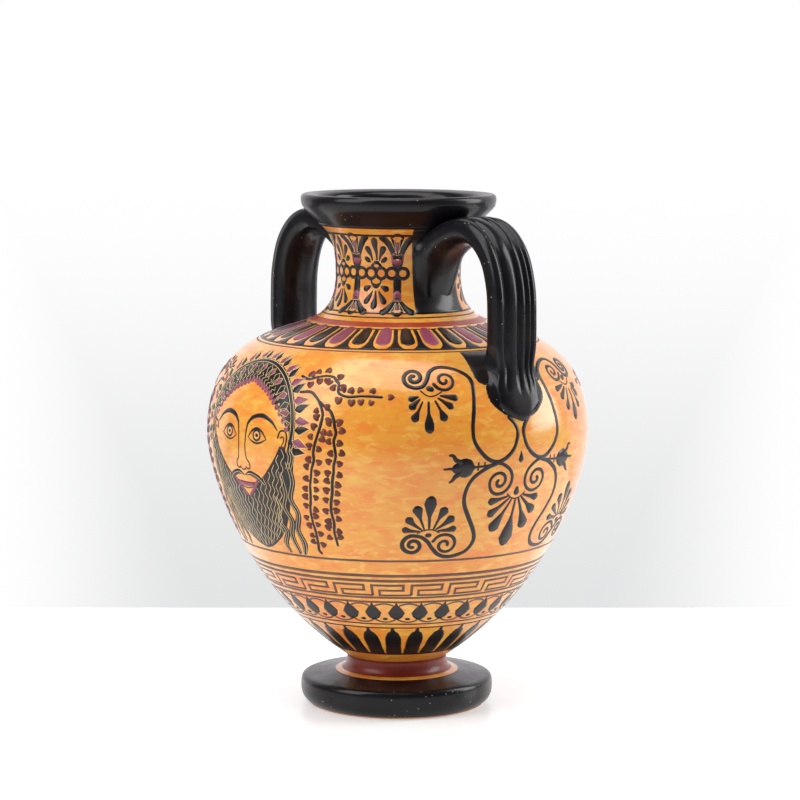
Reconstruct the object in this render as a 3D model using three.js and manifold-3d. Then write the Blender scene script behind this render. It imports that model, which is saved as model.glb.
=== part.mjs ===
// Neck amphora with two ribbed strap handles, thrown hollow and standing on a disc foot.
// Millimetres, +Z up. The origin is the centre of the underside. The handles lie along X.

import * as THREE from "three";
import * as BufferGeometryUtils from "three/addons/utils/BufferGeometryUtils.js";
import Module from "manifold-3d";

const wasm = await Module();
wasm.setup();

const height = 240;
const wall = 4.6; // thickness of the thrown wall
const turns = 48; // facets around the wheel axis
const floorAt = 29; // inside bottom of the belly
const floorRadius = 18;

const foot = {
  underside: 40.9, // radius that stands on the table
  chamfer: 0.6,
  widest: 45.2,
  widestAt: 7.4,
  edge: 44, // radius of the upper edge
  edgeAt: 13.3,
};

const stem = {
  seat: 28.9, // radius where its low ring sits on the foot
  seatAt: 15.6,
  ring: 25.8, // inner radius of the ring
  ringAt: 16.4,
  waist: 23.4, // narrowest radius
  waistAt: 21,
  top: 24,
  topAt: 23.4,
};

const belly = { radius: 89.2, at: 128.4 };
const shoulder = { radius: 68.8, at: 170.7 };
const neck = { radius: 29.1, at: 203 };
const mouth = { root: 33.5, rootAt: 222.6, radius: 45.5, at: 236.5 };

const lip = {
  round: 1.6, // radius of its outer edge
  inner: 39.4, // radius where the top turns down into the mouth
  drop: 0.8, // how far the top slopes inwards
  throat: 36.6,
  throatAt: 233.5,
};

const strap = {
  halfWidth: 11.6,
  halfThickness: 6.2,
  grooves: [7.2, -0.2, -4.9, -8.2], // across the outer face, from its middle
  grooveDepth: 1.2,
  groovedHalf: 9.4, // half of the width that takes grooves
  innerSteps: 9,
  pathSteps: 20,
  sink: 2.3, // how far a root bites into the wall
};

// centreline of the right strap, radius and height, from inside the neck to inside the shoulder
const strapRoute = [
  [20, 210],
  [35, 218.6],
  [47, 224.2],
  [57.5, 225.6],
  [66.5, 221.8],
  [74, 213],
  [78, 200],
  [78.8, 186],
  [78.8, 172],
  [79.6, 159],
  [81, 148],
  [80, 137],
];

// the clay of a strap's lower end, smeared out against the shoulder
const shoulderPad = { radius: 80.6, at: 158.2, halfWidth: 19, halfLength: 17.6, standOff: 5.4, lean: 0.5 };

// the wall between the stem and the lip: each curve with the steps that it needs
const bodyCurves = [
  [curve([stem.top, stem.topAt], [76, 59], [belly.radius, 115], [belly.radius, belly.at]), 9],
  [curve([belly.radius, belly.at], [belly.radius, 145.4], [84.4, 161.5], [shoulder.radius, shoulder.at]), 5],
  [curve([shoulder.radius, shoulder.at], [47.8, 183.1], [neck.radius, 176.4], [neck.radius, neck.at]), 8],
  [curve([neck.radius, neck.at], [neck.radius, 211], [30.2, 219], [mouth.root, mouth.rootAt]), 3],
  [curve([mouth.root, mouth.rootAt], [43.3, 232.9], [mouth.radius, 233.5], [mouth.radius, mouth.at]), 4],
];
const curvesBelowMouth = bodyCurves.slice(0, -1);

function point(radius, z) {
  return new THREE.Vector2(radius, z);
}

function curve(...corners) {
  return new THREE.CubicBezierCurve(...corners.map(([radius, z]) => point(radius, z)));
}

function quarterRound(radius, z, size, steps) {
  return new THREE.EllipseCurve(radius, z, size, size, 0, Math.PI / 2).getPoints(steps);
}

function footProfile() {
  const widest = point(foot.widest, foot.widestAt);
  const chamferTop = point(foot.underside + foot.chamfer, foot.chamfer);
  const edge = point(foot.edge, foot.edgeAt);
  const side = new THREE.QuadraticBezierCurve(chamferTop, point(foot.widest, foot.widestAt / 2), widest);
  const round = new THREE.QuadraticBezierCurve(widest, point(foot.widest, foot.edgeAt - 0.8), edge);
  return [point(0, 0), point(foot.underside, 0), ...side.getPoints(3), ...round.getPoints(3).slice(1)];
}

function stemProfile() {
  const ring = point(stem.ring, stem.ringAt);
  const hollow = point(stem.waist + 0.3, stem.ringAt + 0.9);
  const flare = new THREE.QuadraticBezierCurve(ring, hollow, point(stem.waist, stem.waistAt));
  return [point(stem.seat, stem.seatAt), ...flare.getPoints(4), point(stem.top, stem.topAt)];
}

// the wall's curves set in by a depth, measured square to the wall; depth 0 is the outside
function bodyProfile(depth, curves) {
  return curves.flatMap(([part, steps], order) => {
    const points = [];
    for (let step = order === 0 ? 0 : 1; step <= steps; step += 1) {
      const place = part.getPoint(step / steps);
      const along = part.getTangent(step / steps);
      points.push(point(place.x - along.y * depth, place.y + along.x * depth));
    }
    return points;
  });
}

function lipProfile() {
  return [
    ...quarterRound(mouth.radius - lip.round, height - lip.round, lip.round, 3),
    point(lip.inner, height - lip.drop),
    point(lip.throat + 0.7, height - lip.drop - 1.8),
    point(lip.throat, lip.throatAt),
  ];
}

function insideProfile() {
  const inset = bodyProfile(wall, curvesBelowMouth).filter((place) => place.y > floorAt + 3);
  return [point(0, floorAt), point(floorRadius, floorAt + 0.6), ...inset].reverse();
}

function turn(profile) {
  return new THREE.LatheGeometry(profile, turns).rotateX(Math.PI / 2);
}

function shellGeometry() {
  const outside = bodyProfile(0, bodyCurves).slice(1);
  return turn([...footProfile(), ...stemProfile(), ...outside, ...lipProfile(), ...insideProfile()]);
}

// what a strap may not reach into: the space inside the wall, a little larger than the hollow
function coreGeometry() {
  const side = bodyProfile(strap.sink, curvesBelowMouth);
  const top = side[side.length - 1];
  return turn([point(0, side[0].y), ...side, point(0, top.y)]);
}

// rounded on the inside of the arch, with uneven ribs between the grooves of its outer face
function strapSection() {
  const half = strap.halfWidth;
  const outline = [];
  const addFacePoint = (x, groove) => {
    const crown = strap.halfThickness * (1 - 0.22 * (x / half) ** 4);
    outline.push(point(x, groove - crown));
  };
  let before = strap.groovedHalf;
  addFacePoint(before, 0);
  for (const groove of strap.grooves) {
    if (before !== strap.groovedHalf) {
      addFacePoint((before + groove) / 2, 0);
    }
    addFacePoint(groove, strap.grooveDepth);
    before = groove;
  }
  addFacePoint(-strap.groovedHalf, 0);
  for (let step = 0; step <= strap.innerSteps; step += 1) {
    const angle = Math.PI * (1 + step / strap.innerSteps);
    const bulge = 1 + 0.08 * Math.abs(Math.sin(2 * angle));
    outline.push(point(half * Math.cos(angle) * bulge, -strap.halfThickness * Math.sin(angle) * bulge));
  }
  return new THREE.Shape(outline);
}

function strapGeometry() {
  const route = new THREE.CatmullRomCurve3(strapRoute.map(([x, z]) => new THREE.Vector3(x, 0, z)));
  const settings = { steps: strap.pathSteps, bevelEnabled: false, extrudePath: route };
  return new THREE.ExtrudeGeometry(strapSection(), settings);
}

function padGeometry() {
  const geometry = new THREE.SphereGeometry(1, 18, 12);
  geometry.scale(shoulderPad.standOff, shoulderPad.halfWidth, shoulderPad.halfLength);
  geometry.rotateY(-shoulderPad.lean);
  return geometry.translate(shoulderPad.radius, 0, shoulderPad.at);
}

// a closed triangle mesh becomes a solid for joining and cutting
function solidOf(geometry) {
  const bare = new THREE.BufferGeometry();
  bare.setAttribute("position", geometry.getAttribute("position"));
  bare.setIndex(geometry.getIndex());
  const merged = BufferGeometryUtils.mergeVertices(bare, 1e-4);
  const index = merged.getIndex().array;
  const corners = [];
  for (let i = 0; i < index.length; i += 3) {
    const [a, b, c] = index.slice(i, i + 3);
    if (a !== b && b !== c && c !== a) {
      corners.push(a, b, c);
    }
  }
  const vertProperties = new Float32Array(merged.getAttribute("position").array);
  const mesh = new wasm.Mesh({ numProp: 3, vertProperties, triVerts: new Uint32Array(corners) });
  return new wasm.Manifold(mesh);
}

function geometryOf(solid) {
  const mesh = solid.getMesh();
  const geometry = new THREE.BufferGeometry();
  geometry.setAttribute("position", new THREE.BufferAttribute(mesh.vertProperties, 3));
  geometry.setIndex(new THREE.BufferAttribute(mesh.triVerts, 1));
  geometry.computeVertexNormals();
  return geometry;
}

function amphoraGeometry() {
  const core = solidOf(coreGeometry());
  let amphora = solidOf(shellGeometry());
  for (const side of [0, Math.PI]) {
    const strapSolid = solidOf(strapGeometry().rotateZ(side));
    const padSolid = solidOf(padGeometry().rotateZ(side));
    amphora = amphora.add(strapSolid.add(padSolid).subtract(core));
  }
  return geometryOf(amphora);
}

const paintedClay = new THREE.MeshStandardMaterial({ color: 0xe79a45, roughness: 0.32, metalness: 0 });
const amphora = new THREE.Mesh(amphoraGeometry(), paintedClay);
amphora.name = "amphora";

const model = new THREE.Group();
model.add(amphora);

export default model;
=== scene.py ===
import math

import bmesh
import bpy
import numpy as np
from mathutils import Matrix, Vector


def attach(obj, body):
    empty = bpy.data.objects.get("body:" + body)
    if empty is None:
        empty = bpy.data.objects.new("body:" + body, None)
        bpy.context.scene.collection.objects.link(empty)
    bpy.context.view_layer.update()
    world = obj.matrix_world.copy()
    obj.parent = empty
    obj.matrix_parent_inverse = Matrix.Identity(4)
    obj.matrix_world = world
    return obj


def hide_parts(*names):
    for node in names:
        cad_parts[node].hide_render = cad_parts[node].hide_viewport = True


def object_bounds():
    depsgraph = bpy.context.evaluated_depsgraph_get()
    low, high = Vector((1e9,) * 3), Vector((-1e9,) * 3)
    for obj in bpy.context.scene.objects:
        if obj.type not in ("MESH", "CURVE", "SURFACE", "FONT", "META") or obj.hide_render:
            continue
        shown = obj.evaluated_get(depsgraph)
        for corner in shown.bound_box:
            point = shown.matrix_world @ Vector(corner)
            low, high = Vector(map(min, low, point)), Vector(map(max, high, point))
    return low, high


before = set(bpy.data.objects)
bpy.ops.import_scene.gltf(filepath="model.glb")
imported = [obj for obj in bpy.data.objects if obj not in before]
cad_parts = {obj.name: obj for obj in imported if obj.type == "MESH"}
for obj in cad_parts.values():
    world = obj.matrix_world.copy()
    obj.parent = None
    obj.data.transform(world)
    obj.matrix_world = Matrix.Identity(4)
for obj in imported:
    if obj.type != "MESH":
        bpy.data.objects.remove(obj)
cadLow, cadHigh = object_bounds()
vaseHeight = 240
mm = (cadHigh.z - cadLow.z) / vaseHeight

scene = bpy.context.scene
scene.view_settings.view_transform = "Standard"


# small helpers for node trees

def addNode(tree, kind, values=None, **settings):
    node = tree.nodes.new(kind)
    for name, value in settings.items():
        setattr(node, name, value)
    for socket, value in (values or {}).items():
        feed(tree, node.inputs[socket], value)
    return node


def feed(tree, socket, value):
    if isinstance(value, bpy.types.NodeSocket):
        tree.links.new(value, socket)
    else:
        socket.default_value = value


def calc(tree, operation, a, b=None, c=None):
    values = {i: v for i, v in enumerate((a, b, c)) if v is not None}
    return addNode(tree, "ShaderNodeMath", values, operation=operation).outputs[0]


def vectorCalc(tree, operation, a, b):
    return addNode(tree, "ShaderNodeVectorMath", {0: a, 1: b}, operation=operation).outputs[0]


def splitVector(tree, vector):
    return addNode(tree, "ShaderNodeSeparateXYZ", {0: vector}).outputs


def joinVector(tree, *values):
    return addNode(tree, "ShaderNodeCombineXYZ", dict(enumerate(values))).outputs[0]


def turned(tree, radius, angle, height):
    # the point at this radius, angle and height round the vase's axis
    x = calc(tree, "MULTIPLY", radius, calc(tree, "COSINE", angle))
    y = calc(tree, "MULTIPLY", radius, calc(tree, "SINE", angle))
    return joinVector(tree, x, y, height)


def noise(tree, place, scale, detail=2.0, roughness=0.5, distortion=0.0):
    return addNode(tree, "ShaderNodeTexNoise", {
        "Vector": place, "Scale": scale, "Detail": detail, "Roughness": roughness, "Distortion": distortion,
    }).outputs["Fac"]


def blendColours(tree, share, a, b):
    node = tree.nodes.new("ShaderNodeMix")
    node.data_type = "RGBA"
    for socket, value in ((0, share), (6, a), (7, b)):
        feed(tree, node.inputs[socket], value)
    return node.outputs[2]


def stepUp(tree, value, low, high):
    return addNode(tree, "ShaderNodeMapRange", {
        "Value": value, "From Min": low, "From Max": high, "To Min": 0.0, "To Max": 1.0,
    }, interpolation_type="SMOOTHSTEP").outputs[0]


def openTree(name, kind, inputs, outputs):
    tree = bpy.data.node_groups.new(name, kind)
    for label, socketType in outputs:
        tree.interface.new_socket(label, in_out="OUTPUT", socket_type=socketType)
    for label, socketType, default in inputs:
        socket = tree.interface.new_socket(label, in_out="INPUT", socket_type=socketType)
        if default is not None:
            socket.default_value = default
    return tree, tree.nodes.new("NodeGroupInput"), tree.nodes.new("NodeGroupOutput")


def runTree(name, mesh, tree, values):
    # the tree's result as a plain mesh
    worker = bpy.data.objects.new(name, mesh)
    scene.collection.objects.link(worker)
    modifier = worker.modifiers.new(name, "NODES")
    modifier.node_group = tree
    for item in tree.interface.items_tree:
        if item.in_out == "INPUT" and item.name in values:
            modifier[item.identifier] = values[item.name]
    graph = bpy.context.evaluated_depsgraph_get()
    result = bpy.data.meshes.new_from_object(worker.evaluated_get(graph), depsgraph=graph)
    worker.modifiers.remove(modifier)
    bpy.data.objects.remove(worker)
    dropEmptySlots(result)
    return result


def dropEmptySlots(mesh):
    slots = list(mesh.materials)
    used = [m for m in slots if m]
    index = np.empty(len(mesh.polygons), int)
    mesh.polygons.foreach_get("material_index", index)
    place = np.array([used.index(m) if m else 0 for m in slots])
    mesh.materials.clear()
    for material in used:
        mesh.materials.append(material)
    mesh.polygons.foreach_set("material_index", place[index])


# finishes

glazeShape = {
    # where each tone starts and where it is full, on a noise from 0 to 1
    "pale": (0.45, 0.68),
    "deep": (0.47, 0.66),
    "streak": (0.4, 0.75),
    "dab": (0.5, 0.64),
    "paleShift": (0.7, 0.3, 0.1),
    "streakFlat": (1.0, 1.0, 7.0),  # strokes run round the wall
    "streakSize": 60.0,
    "dabFlat": (1.0, 1.0, 2.6),
    "dabSets": [((0.2, 0.5, 0.4), "Deep"), ((0.6, 0.1, 0.9), "Pale")],
}


def unevenGlazeGroup():
    # brushed-on colour: cloudy blotches, strokes that run round the wall, thin places
    tree, given, out = openTree("unevenGlaze", "ShaderNodeTree", [
        ("Main", "NodeSocketColor", (0.8, 0.35, 0.06, 1)),
        ("Deep", "NodeSocketColor", (0.7, 0.2, 0.04, 1)),
        ("Pale", "NodeSocketColor", (0.9, 0.55, 0.15, 1)),
        ("Cloud Size", "NodeSocketFloat", 30.0),
        ("Deep Amount", "NodeSocketFloat", 0.5),
        ("Pale Amount", "NodeSocketFloat", 0.5),
        ("Streak Strength", "NodeSocketFloat", 0.3),
        ("Dab Size", "NodeSocketFloat", 130.0),
        ("Dab Amount", "NodeSocketFloat", 0.0),
        ("Shift", "NodeSocketVector", (0, 0, 0)),
    ], [("Color", "NodeSocketColor"), ("Streak", "NodeSocketFloat")])
    want = given.outputs
    place = addNode(tree, "ShaderNodeTexCoord").outputs["Object"]
    place = vectorCalc(tree, "ADD", place, want["Shift"])
    cloud = noise(tree, place, want["Cloud Size"], 4.0, 0.55, 0.4)
    elsewhere = vectorCalc(tree, "ADD", place, glazeShape["paleShift"])
    paleCloud = noise(tree, elsewhere, want["Cloud Size"], 3.0)
    flat = vectorCalc(tree, "MULTIPLY", place, glazeShape["streakFlat"])
    streak = noise(tree, flat, glazeShape["streakSize"], 3.0, 0.6)

    def tinted(colour, tone, pattern, limits, amount):
        mask = calc(tree, "MULTIPLY", stepUp(tree, pattern, *glazeShape[limits]), want[amount])
        return blendColours(tree, mask, colour, want[tone])

    colour = tinted(want["Main"], "Pale", paleCloud, "pale", "Pale Amount")
    colour = tinted(colour, "Deep", cloud, "deep", "Deep Amount")
    colour = tinted(colour, "Deep", streak, "streak", "Streak Strength")
    # short dabs of the brush, darker and paler
    for shift, tone in glazeShape["dabSets"]:
        spot = vectorCalc(tree, "ADD", vectorCalc(tree, "MULTIPLY", place, glazeShape["dabFlat"]), shift)
        dab = noise(tree, spot, want["Dab Size"], 3.5, 0.62, 0.5)
        colour = tinted(colour, tone, dab, "dab", "Dab Amount")
    feed(tree, out.inputs["Color"], colour)
    feed(tree, out.inputs["Streak"], streak)
    return tree


def handMadeGroup():
    # throwing rings, a faint dimple and fine pits, as a height for a Bump node
    tree, given, out = openTree("handMade", "ShaderNodeTree", [
        ("Rings", "NodeSocketFloat", 0.3),
        ("Dimples", "NodeSocketFloat", 0.5),
        ("Pits", "NodeSocketFloat", 0.2),
    ], [("Height", "NodeSocketFloat")])
    place = addNode(tree, "ShaderNodeTexCoord").outputs["Object"]
    patterns = {
        "Rings": noise(tree, vectorCalc(tree, "MULTIPLY", place, (0.12, 0.12, 1.0)), 330.0),
        "Dimples": noise(tree, place, 55.0, 2.0, 0.45),
        "Pits": noise(tree, place, 900.0, 2.0, 0.6),
    }
    height = 0.0
    for label, pattern in patterns.items():
        height = calc(tree, "MULTIPLY_ADD", pattern, given.outputs[label], height)
    feed(tree, out.inputs["Height"], height)
    return tree


def dustGroup():
    # scattered pale specks of dust and tiny chips
    tree, given, out = openTree("dustSpecks", "ShaderNodeTree", [
        ("Specks Per Metre", "NodeSocketFloat", 430.0),
        ("Speck Size", "NodeSocketFloat", 0.1),
        ("Share", "NodeSocketFloat", 0.25),
    ], [("Mask", "NodeSocketFloat")])
    place = addNode(tree, "ShaderNodeTexCoord").outputs["Object"]
    cells = addNode(tree, "ShaderNodeTexVoronoi", {
        "Vector": place, "Scale": given.outputs["Specks Per Metre"], "Randomness": 1.0,
    })
    near = calc(tree, "LESS_THAN", cells.outputs["Distance"], given.outputs["Speck Size"])
    pick = addNode(tree, "ShaderNodeSeparateColor", {"Color": cells.outputs["Color"]}).outputs[0]
    # thicker in some places than in others
    clump = stepUp(tree, noise(tree, place, 45.0, 1.0), 0.45, 0.62)
    chosen = calc(tree, "LESS_THAN", pick, calc(tree, "MULTIPLY", clump, given.outputs["Share"]))
    feed(tree, out.inputs["Mask"], calc(tree, "MULTIPLY", near, chosen))
    return tree


unevenGlaze = unevenGlazeGroup()
handMade = handMadeGroup()
dustSpecks = dustGroup()

# what a finish has unless it says otherwise
commonLook = {
    "cloudSize": 60.0, "deep": 0.6, "pale": 0.6, "streak": 0.3, "dabs": 0.0, "shift": (0, 0, 0),
    "coat": 0.2, "coatRoughness": 0.3, "shine": 0.5,
    "surface": (0.2, 0.5, 0.15),  # throwing rings, dimples, pits
    "surfaceDepth": 0.4,
    "dust": 0.0, "dustColour": (0.42, 0.38, 0.33, 1.0),
}

finishes = {
    "orangeGround": {
        "colours": [(0.75, 0.31, 0.034), (0.77, 0.185, 0.026), (0.81, 0.45, 0.08)],
        "cloudSize": 26.0, "deep": 0.5, "pale": 0.7, "streak": 0.42, "dabs": 0.6,
        "roughness": (0.3, 0.44), "coat": 0.9, "coatRoughness": 0.15, "shine": 0.2,
        "surface": (0.25, 0.5, 0.12),
    },
    "blackSlip": {
        "colours": [(0.0045, 0.0045, 0.0062), (0.011, 0.0062, 0.0056), (0.0075, 0.008, 0.0115)],
        "cloudSize": 45.0, "deep": 0.4, "streak": 0.15, "shift": (0.3, 0, 0),
        "roughness": (0.26, 0.4), "coat": 0.3, "coatRoughness": 0.12, "shine": 0.13,
        "surface": (0.06, 0.6, 0.14), "dust": 0.45,
    },
    "blackStroke": {
        "colours": [(0.007, 0.006, 0.007), (0.026, 0.011, 0.008), (0.012, 0.0105, 0.013)],
        "deep": 0.55, "pale": 0.5, "streak": 0.2, "shift": (0.1, 0.2, 0),
        "roughness": (0.3, 0.44), "coat": 0.35, "coatRoughness": 0.16, "shine": 0.2,
    },
    "mauveSlip": {
        "colours": [(0.25, 0.042, 0.085), (0.16, 0.028, 0.055), (0.30, 0.10, 0.15)],
        "shift": (0.2, 0, 0.3), "roughness": (0.35, 0.5),
    },
    "brickSlip": {
        "colours": [(0.36, 0.042, 0.018), (0.22, 0.024, 0.012), (0.46, 0.09, 0.03)],
        "cloudSize": 50.0, "shift": (0, 0.4, 0.3), "roughness": (0.32, 0.46), "coat": 0.25,
        "surface": (0.25, 0.5, 0.12),
    },
    # the stem's brick slip, darker than the ring's: partly its own darker paint, partly painted shade where
    # the stem sits in under the body
    "stemSlip": {
        "colours": [(0.22, 0.022, 0.01), (0.13, 0.014, 0.009), (0.30, 0.045, 0.018)],
        "cloudSize": 50.0, "shift": (0, 0.4, 0.3), "roughness": (0.32, 0.46), "coatRoughness": 0.2,
        "shine": 0.3, "surface": (0.25, 0.5, 0.12),
    },
    "ivySlip": {
        "colours": [(0.125, 0.021, 0.01), (0.06, 0.014, 0.009), (0.18, 0.04, 0.018)],
        "cloudSize": 90.0, "deep": 0.7, "pale": 0.5, "shift": (0.4, 0.4, 0),
        "roughness": (0.34, 0.48), "coat": 0.15, "coatRoughness": 0.2, "shine": 0.25,
    },
    "creamLine": {
        "colours": [(0.82, 0.60, 0.28), (0.72, 0.45, 0.16), (0.88, 0.70, 0.42)],
        "cloudSize": 80.0, "deep": 0.5, "pale": 0.5, "shift": (0.1, 0.5, 0), "roughness": (0.38, 0.5),
        "coat": 0.15, "surface": (0.2, 0.4, 0.15),
    },
    "brownLine": {
        "colours": [(0.10, 0.034, 0.016), (0.045, 0.018, 0.012), (0.18, 0.07, 0.03)],
        "cloudSize": 80.0, "pale": 0.5, "shift": (0.6, 0.1, 0), "roughness": (0.35, 0.48),
        "surface": (0.2, 0.4, 0.15),
    },
    "bareClay": {
        "colours": [(0.52, 0.25, 0.12), (0.42, 0.18, 0.08), (0.62, 0.33, 0.17)],
        "cloudSize": 40.0, "streak": 0.4, "shift": (0, 0, 0.5), "roughness": (0.7, 0.85),
        "coat": 0.0, "coatRoughness": 0.4, "surface": (0.8, 0.5, 0.6),
    },
}


def makeFinish(name, look):
    look = {**commonLook, **look}
    material = bpy.data.materials.new(name)
    material.use_nodes = True
    tree = material.node_tree
    main, deep, pale = [(*colour, 1.0) for colour in look["colours"]]
    glaze = addNode(tree, "ShaderNodeGroup", {
        "Main": main, "Deep": deep, "Pale": pale, "Cloud Size": look["cloudSize"],
        "Deep Amount": look["deep"], "Pale Amount": look["pale"], "Streak Strength": look["streak"],
        "Dab Amount": look["dabs"], "Shift": look["shift"],
    }, node_tree=unevenGlaze)
    colour = glaze.outputs["Color"]
    if look["dust"]:
        dust = addNode(tree, "ShaderNodeGroup", {"Share": look["dust"]}, node_tree=dustSpecks)
        colour = blendColours(tree, dust.outputs["Mask"], colour, look["dustColour"])
    smoothest, roughest = look["roughness"]
    rough = addNode(tree, "ShaderNodeMapRange", {
        "Value": glaze.outputs["Streak"], "From Min": 0.3, "From Max": 0.7,
        "To Min": smoothest, "To Max": roughest,
    }).outputs[0]
    rings, dimples, pits = look["surface"]
    hand = addNode(tree, "ShaderNodeGroup", {
        "Rings": rings, "Dimples": dimples, "Pits": pits,
    }, node_tree=handMade)
    bump = addNode(tree, "ShaderNodeBump", {
        "Strength": 1.0, "Distance": look["surfaceDepth"] * mm, "Height": hand.outputs["Height"],
    })
    shader = tree.nodes["Principled BSDF"]
    for label, value in (
        ("Base Color", colour), ("Roughness", rough), ("Specular IOR Level", look["shine"]),
        ("Coat Weight", look["coat"]), ("Coat Roughness", look["coatRoughness"]),
        ("Normal", bump.outputs[0]),
    ):
        feed(tree, shader.inputs[label], value)
    return material


finish = {name: makeFinish(name, look) for name, look in finishes.items()}
print("finishes ready:", len(finish))


# the thrown wall

vaseShape = {
    "turns": 256,  # steps round the wheel axis
    "rowStep": 2.0,
    "insideStep": 4.8,
    "roundStep": 0.7,  # along the lip and the side of the foot
    "stemStep": 0.5,
    "ringStep": 0.4,
    "footTopStep": 1.5,
    "floorStep": 2.0,
    "wallThickness": 4.6,
    "insideFrom": 32,  # the curve of the wall is followed down to here inside
    "belly": [(24, 23.4), (76, 59), (89.2, 115), (89.2, 128.4)],
    "shoulder": [(89.2, 128.4), (89.2, 145.4), (84.4, 161.5), (68.8, 170.7)],
    "neckSweep": [(68.8, 170.7), (47.8, 183.1), (29.1, 176.4), (29.1, 203)],
    "throat": [(29.1, 203), (29.1, 211), (30.2, 219), (33.5, 222.6)],
    "mouth": [(33.5, 222.6), (43.3, 232.9), (45.5, 233.5), (45.5, 236.5)],
    "underside": [(0, 0), (10, 0), (20, 0), (30, 0), (40.5, 0), (41.2, 0.25), (41.9, 0.9)],
    "footSide": [(41.9, 0.9), (43.6, 2.6), (44.8, 5), (45.2, 7.6), (45.15, 10.2), (44.9, 11.8),
                 (44.3, 12.9), (43.4, 13.4)],
    "footTop": [(43.4, 13.4), (36, 14.6), (29.3, 15.5), (28.9, 15.58)],
    "footRing": [(28.9, 15.58), (28.6, 15.8), (27.4, 16.1), (25.9, 16.35)],
    "stem": [(25.9, 16.35), (25.2, 16.75), (24.4, 17.6), (23.8, 19), (23.5, 20.6), (23.4, 21.8),
             (23.55, 22.8), (24, 23.4)],
    "lip": [(45.5, 236.5), (45.5, 238.3), (45.0, 239.4), (43.9, 240), (42.4, 239.85), (39.6, 239.25),
            (38.1, 238.5), (37.2, 237.2), (36.7, 235.2), (36.2, 233)],
    "inside": [(18, 29.6), (9, 29.1), (0, 29)],
    "blackFrom": 258.2,  # the black of the mouth starts this far up the wall
}


def curvePoints(corners, count=400):
    t = np.linspace(0, 1, count)[:, None]
    a, b, c, d = (np.array(p, float) for p in corners)
    return a * (1 - t) ** 3 + 3 * b * t * (1 - t) ** 2 + 3 * c * t ** 2 * (1 - t) + d * t ** 3


def runLength(points):
    return np.concatenate([[0], np.cumsum(np.hypot(*np.diff(points, axis=0).T))])


def through(points, step):
    # a smooth line through given points, in even steps
    p = np.array(points, float)
    p = np.vstack([2 * p[0] - p[1], p, 2 * p[-1] - p[-2]])
    fine = []
    for i in range(1, len(p) - 2):
        t = np.linspace(0, 1, 24, endpoint=False)[:, None]
        fine.append(0.5 * (2 * p[i] + (p[i + 1] - p[i - 1]) * t
                           + (2 * p[i - 1] - 5 * p[i] + 4 * p[i + 1] - p[i + 2]) * t ** 2
                           + (3 * p[i] - p[i - 1] - 3 * p[i + 1] + p[i + 2]) * t ** 3))
    fine = np.vstack(fine + [p[-2][None]])
    return evenSteps(fine, step)


def evenSteps(points, step, marks=()):
    length = runLength(points)
    stops = np.array(sorted({0.0, length[-1], *marks}))
    rows = []
    for a, b in zip(stops, stops[1:]):
        rows.append(np.linspace(a, b, max(2, int(round((b - a) / step)) + 1))[:-1])
    rows = np.concatenate(rows + [[length[-1]]])
    return np.stack([np.interp(rows, length, points[:, k]) for k in (0, 1)], axis=1)


def cutLine(points):
    # without the points that lie on the one before
    keep = np.concatenate([[True], np.hypot(*np.diff(points, axis=0).T) > 1e-9])
    return points[keep]


def curvesOf(names):
    return cutLine(np.vstack([curvePoints(vaseShape[name]) for name in names]))


wallCurves = ("belly", "shoulder", "neckSweep", "throat", "mouth")
wallLine = curvesOf(wallCurves)
wallRun = runLength(wallLine)


def wallRadius(s):
    # s is how far up the wall, along its surface, from its lower end
    return np.interp(s, wallRun, wallLine[:, 0])


def radiusAtHeight(z):
    # of the wall, outside
    return np.interp(z, wallLine[:, 1], wallLine[:, 0])


print("wall line:", round(float(wallRun[-1]), 1), "mm")


def wayAlong(line):
    way = np.gradient(line, axis=0)
    return way / np.hypot(*way.T)[:, None]


def insideLine():
    # the wall's line set in by its thickness, from the throat down
    line = curvesOf(wallCurves[:-1])
    along = wayAlong(line)
    inset = line + np.stack([-along[:, 1], along[:, 0]], axis=1) * vaseShape["wallThickness"]
    return inset[inset[:, 1] > vaseShape["insideFrom"]][::-1]


def sectionPieces():
    # every stretch of the section with its finish, from the middle of the underside to the floor inside
    shape = vaseShape
    inner = insideLine()
    splitAt = shape["blackFrom"]
    wall = evenSteps(wallLine, shape["rowStep"], [splitAt])
    run = wallHeightRun(wall)
    return [
        (np.array(shape["underside"], float), "bareClay"),
        (through(shape["footSide"], shape["roundStep"]), "blackSlip"),
        (evenSteps(np.array(shape["footTop"], float), shape["footTopStep"]), "blackSlip"),
        (evenSteps(np.array(shape["footRing"], float), shape["ringStep"]), "orangeGround"),
        # the stem, in a slip darkened partly as painted shade
        (through(shape["stem"], shape["stemStep"]), "stemSlip"),
        (wall[run <= splitAt + 0.01], "orangeGround"),
        (wall[run >= splitAt - 0.01], "blackSlip"),
        (through(shape["lip"] + [tuple(inner[0])], shape["roundStep"]), "blackSlip"),
        (evenSteps(inner, shape["insideStep"]), "blackSlip"),
        (through([tuple(inner[-1]), *shape["inside"]], shape["floorStep"]), "blackSlip"),
    ]


def wallHeightRun(points):
    # how far up the wall each of these points lies
    return np.interp(points[:, 1] + points[:, 0] * 1e-9, wallLine[:, 1], wallRun)


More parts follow.
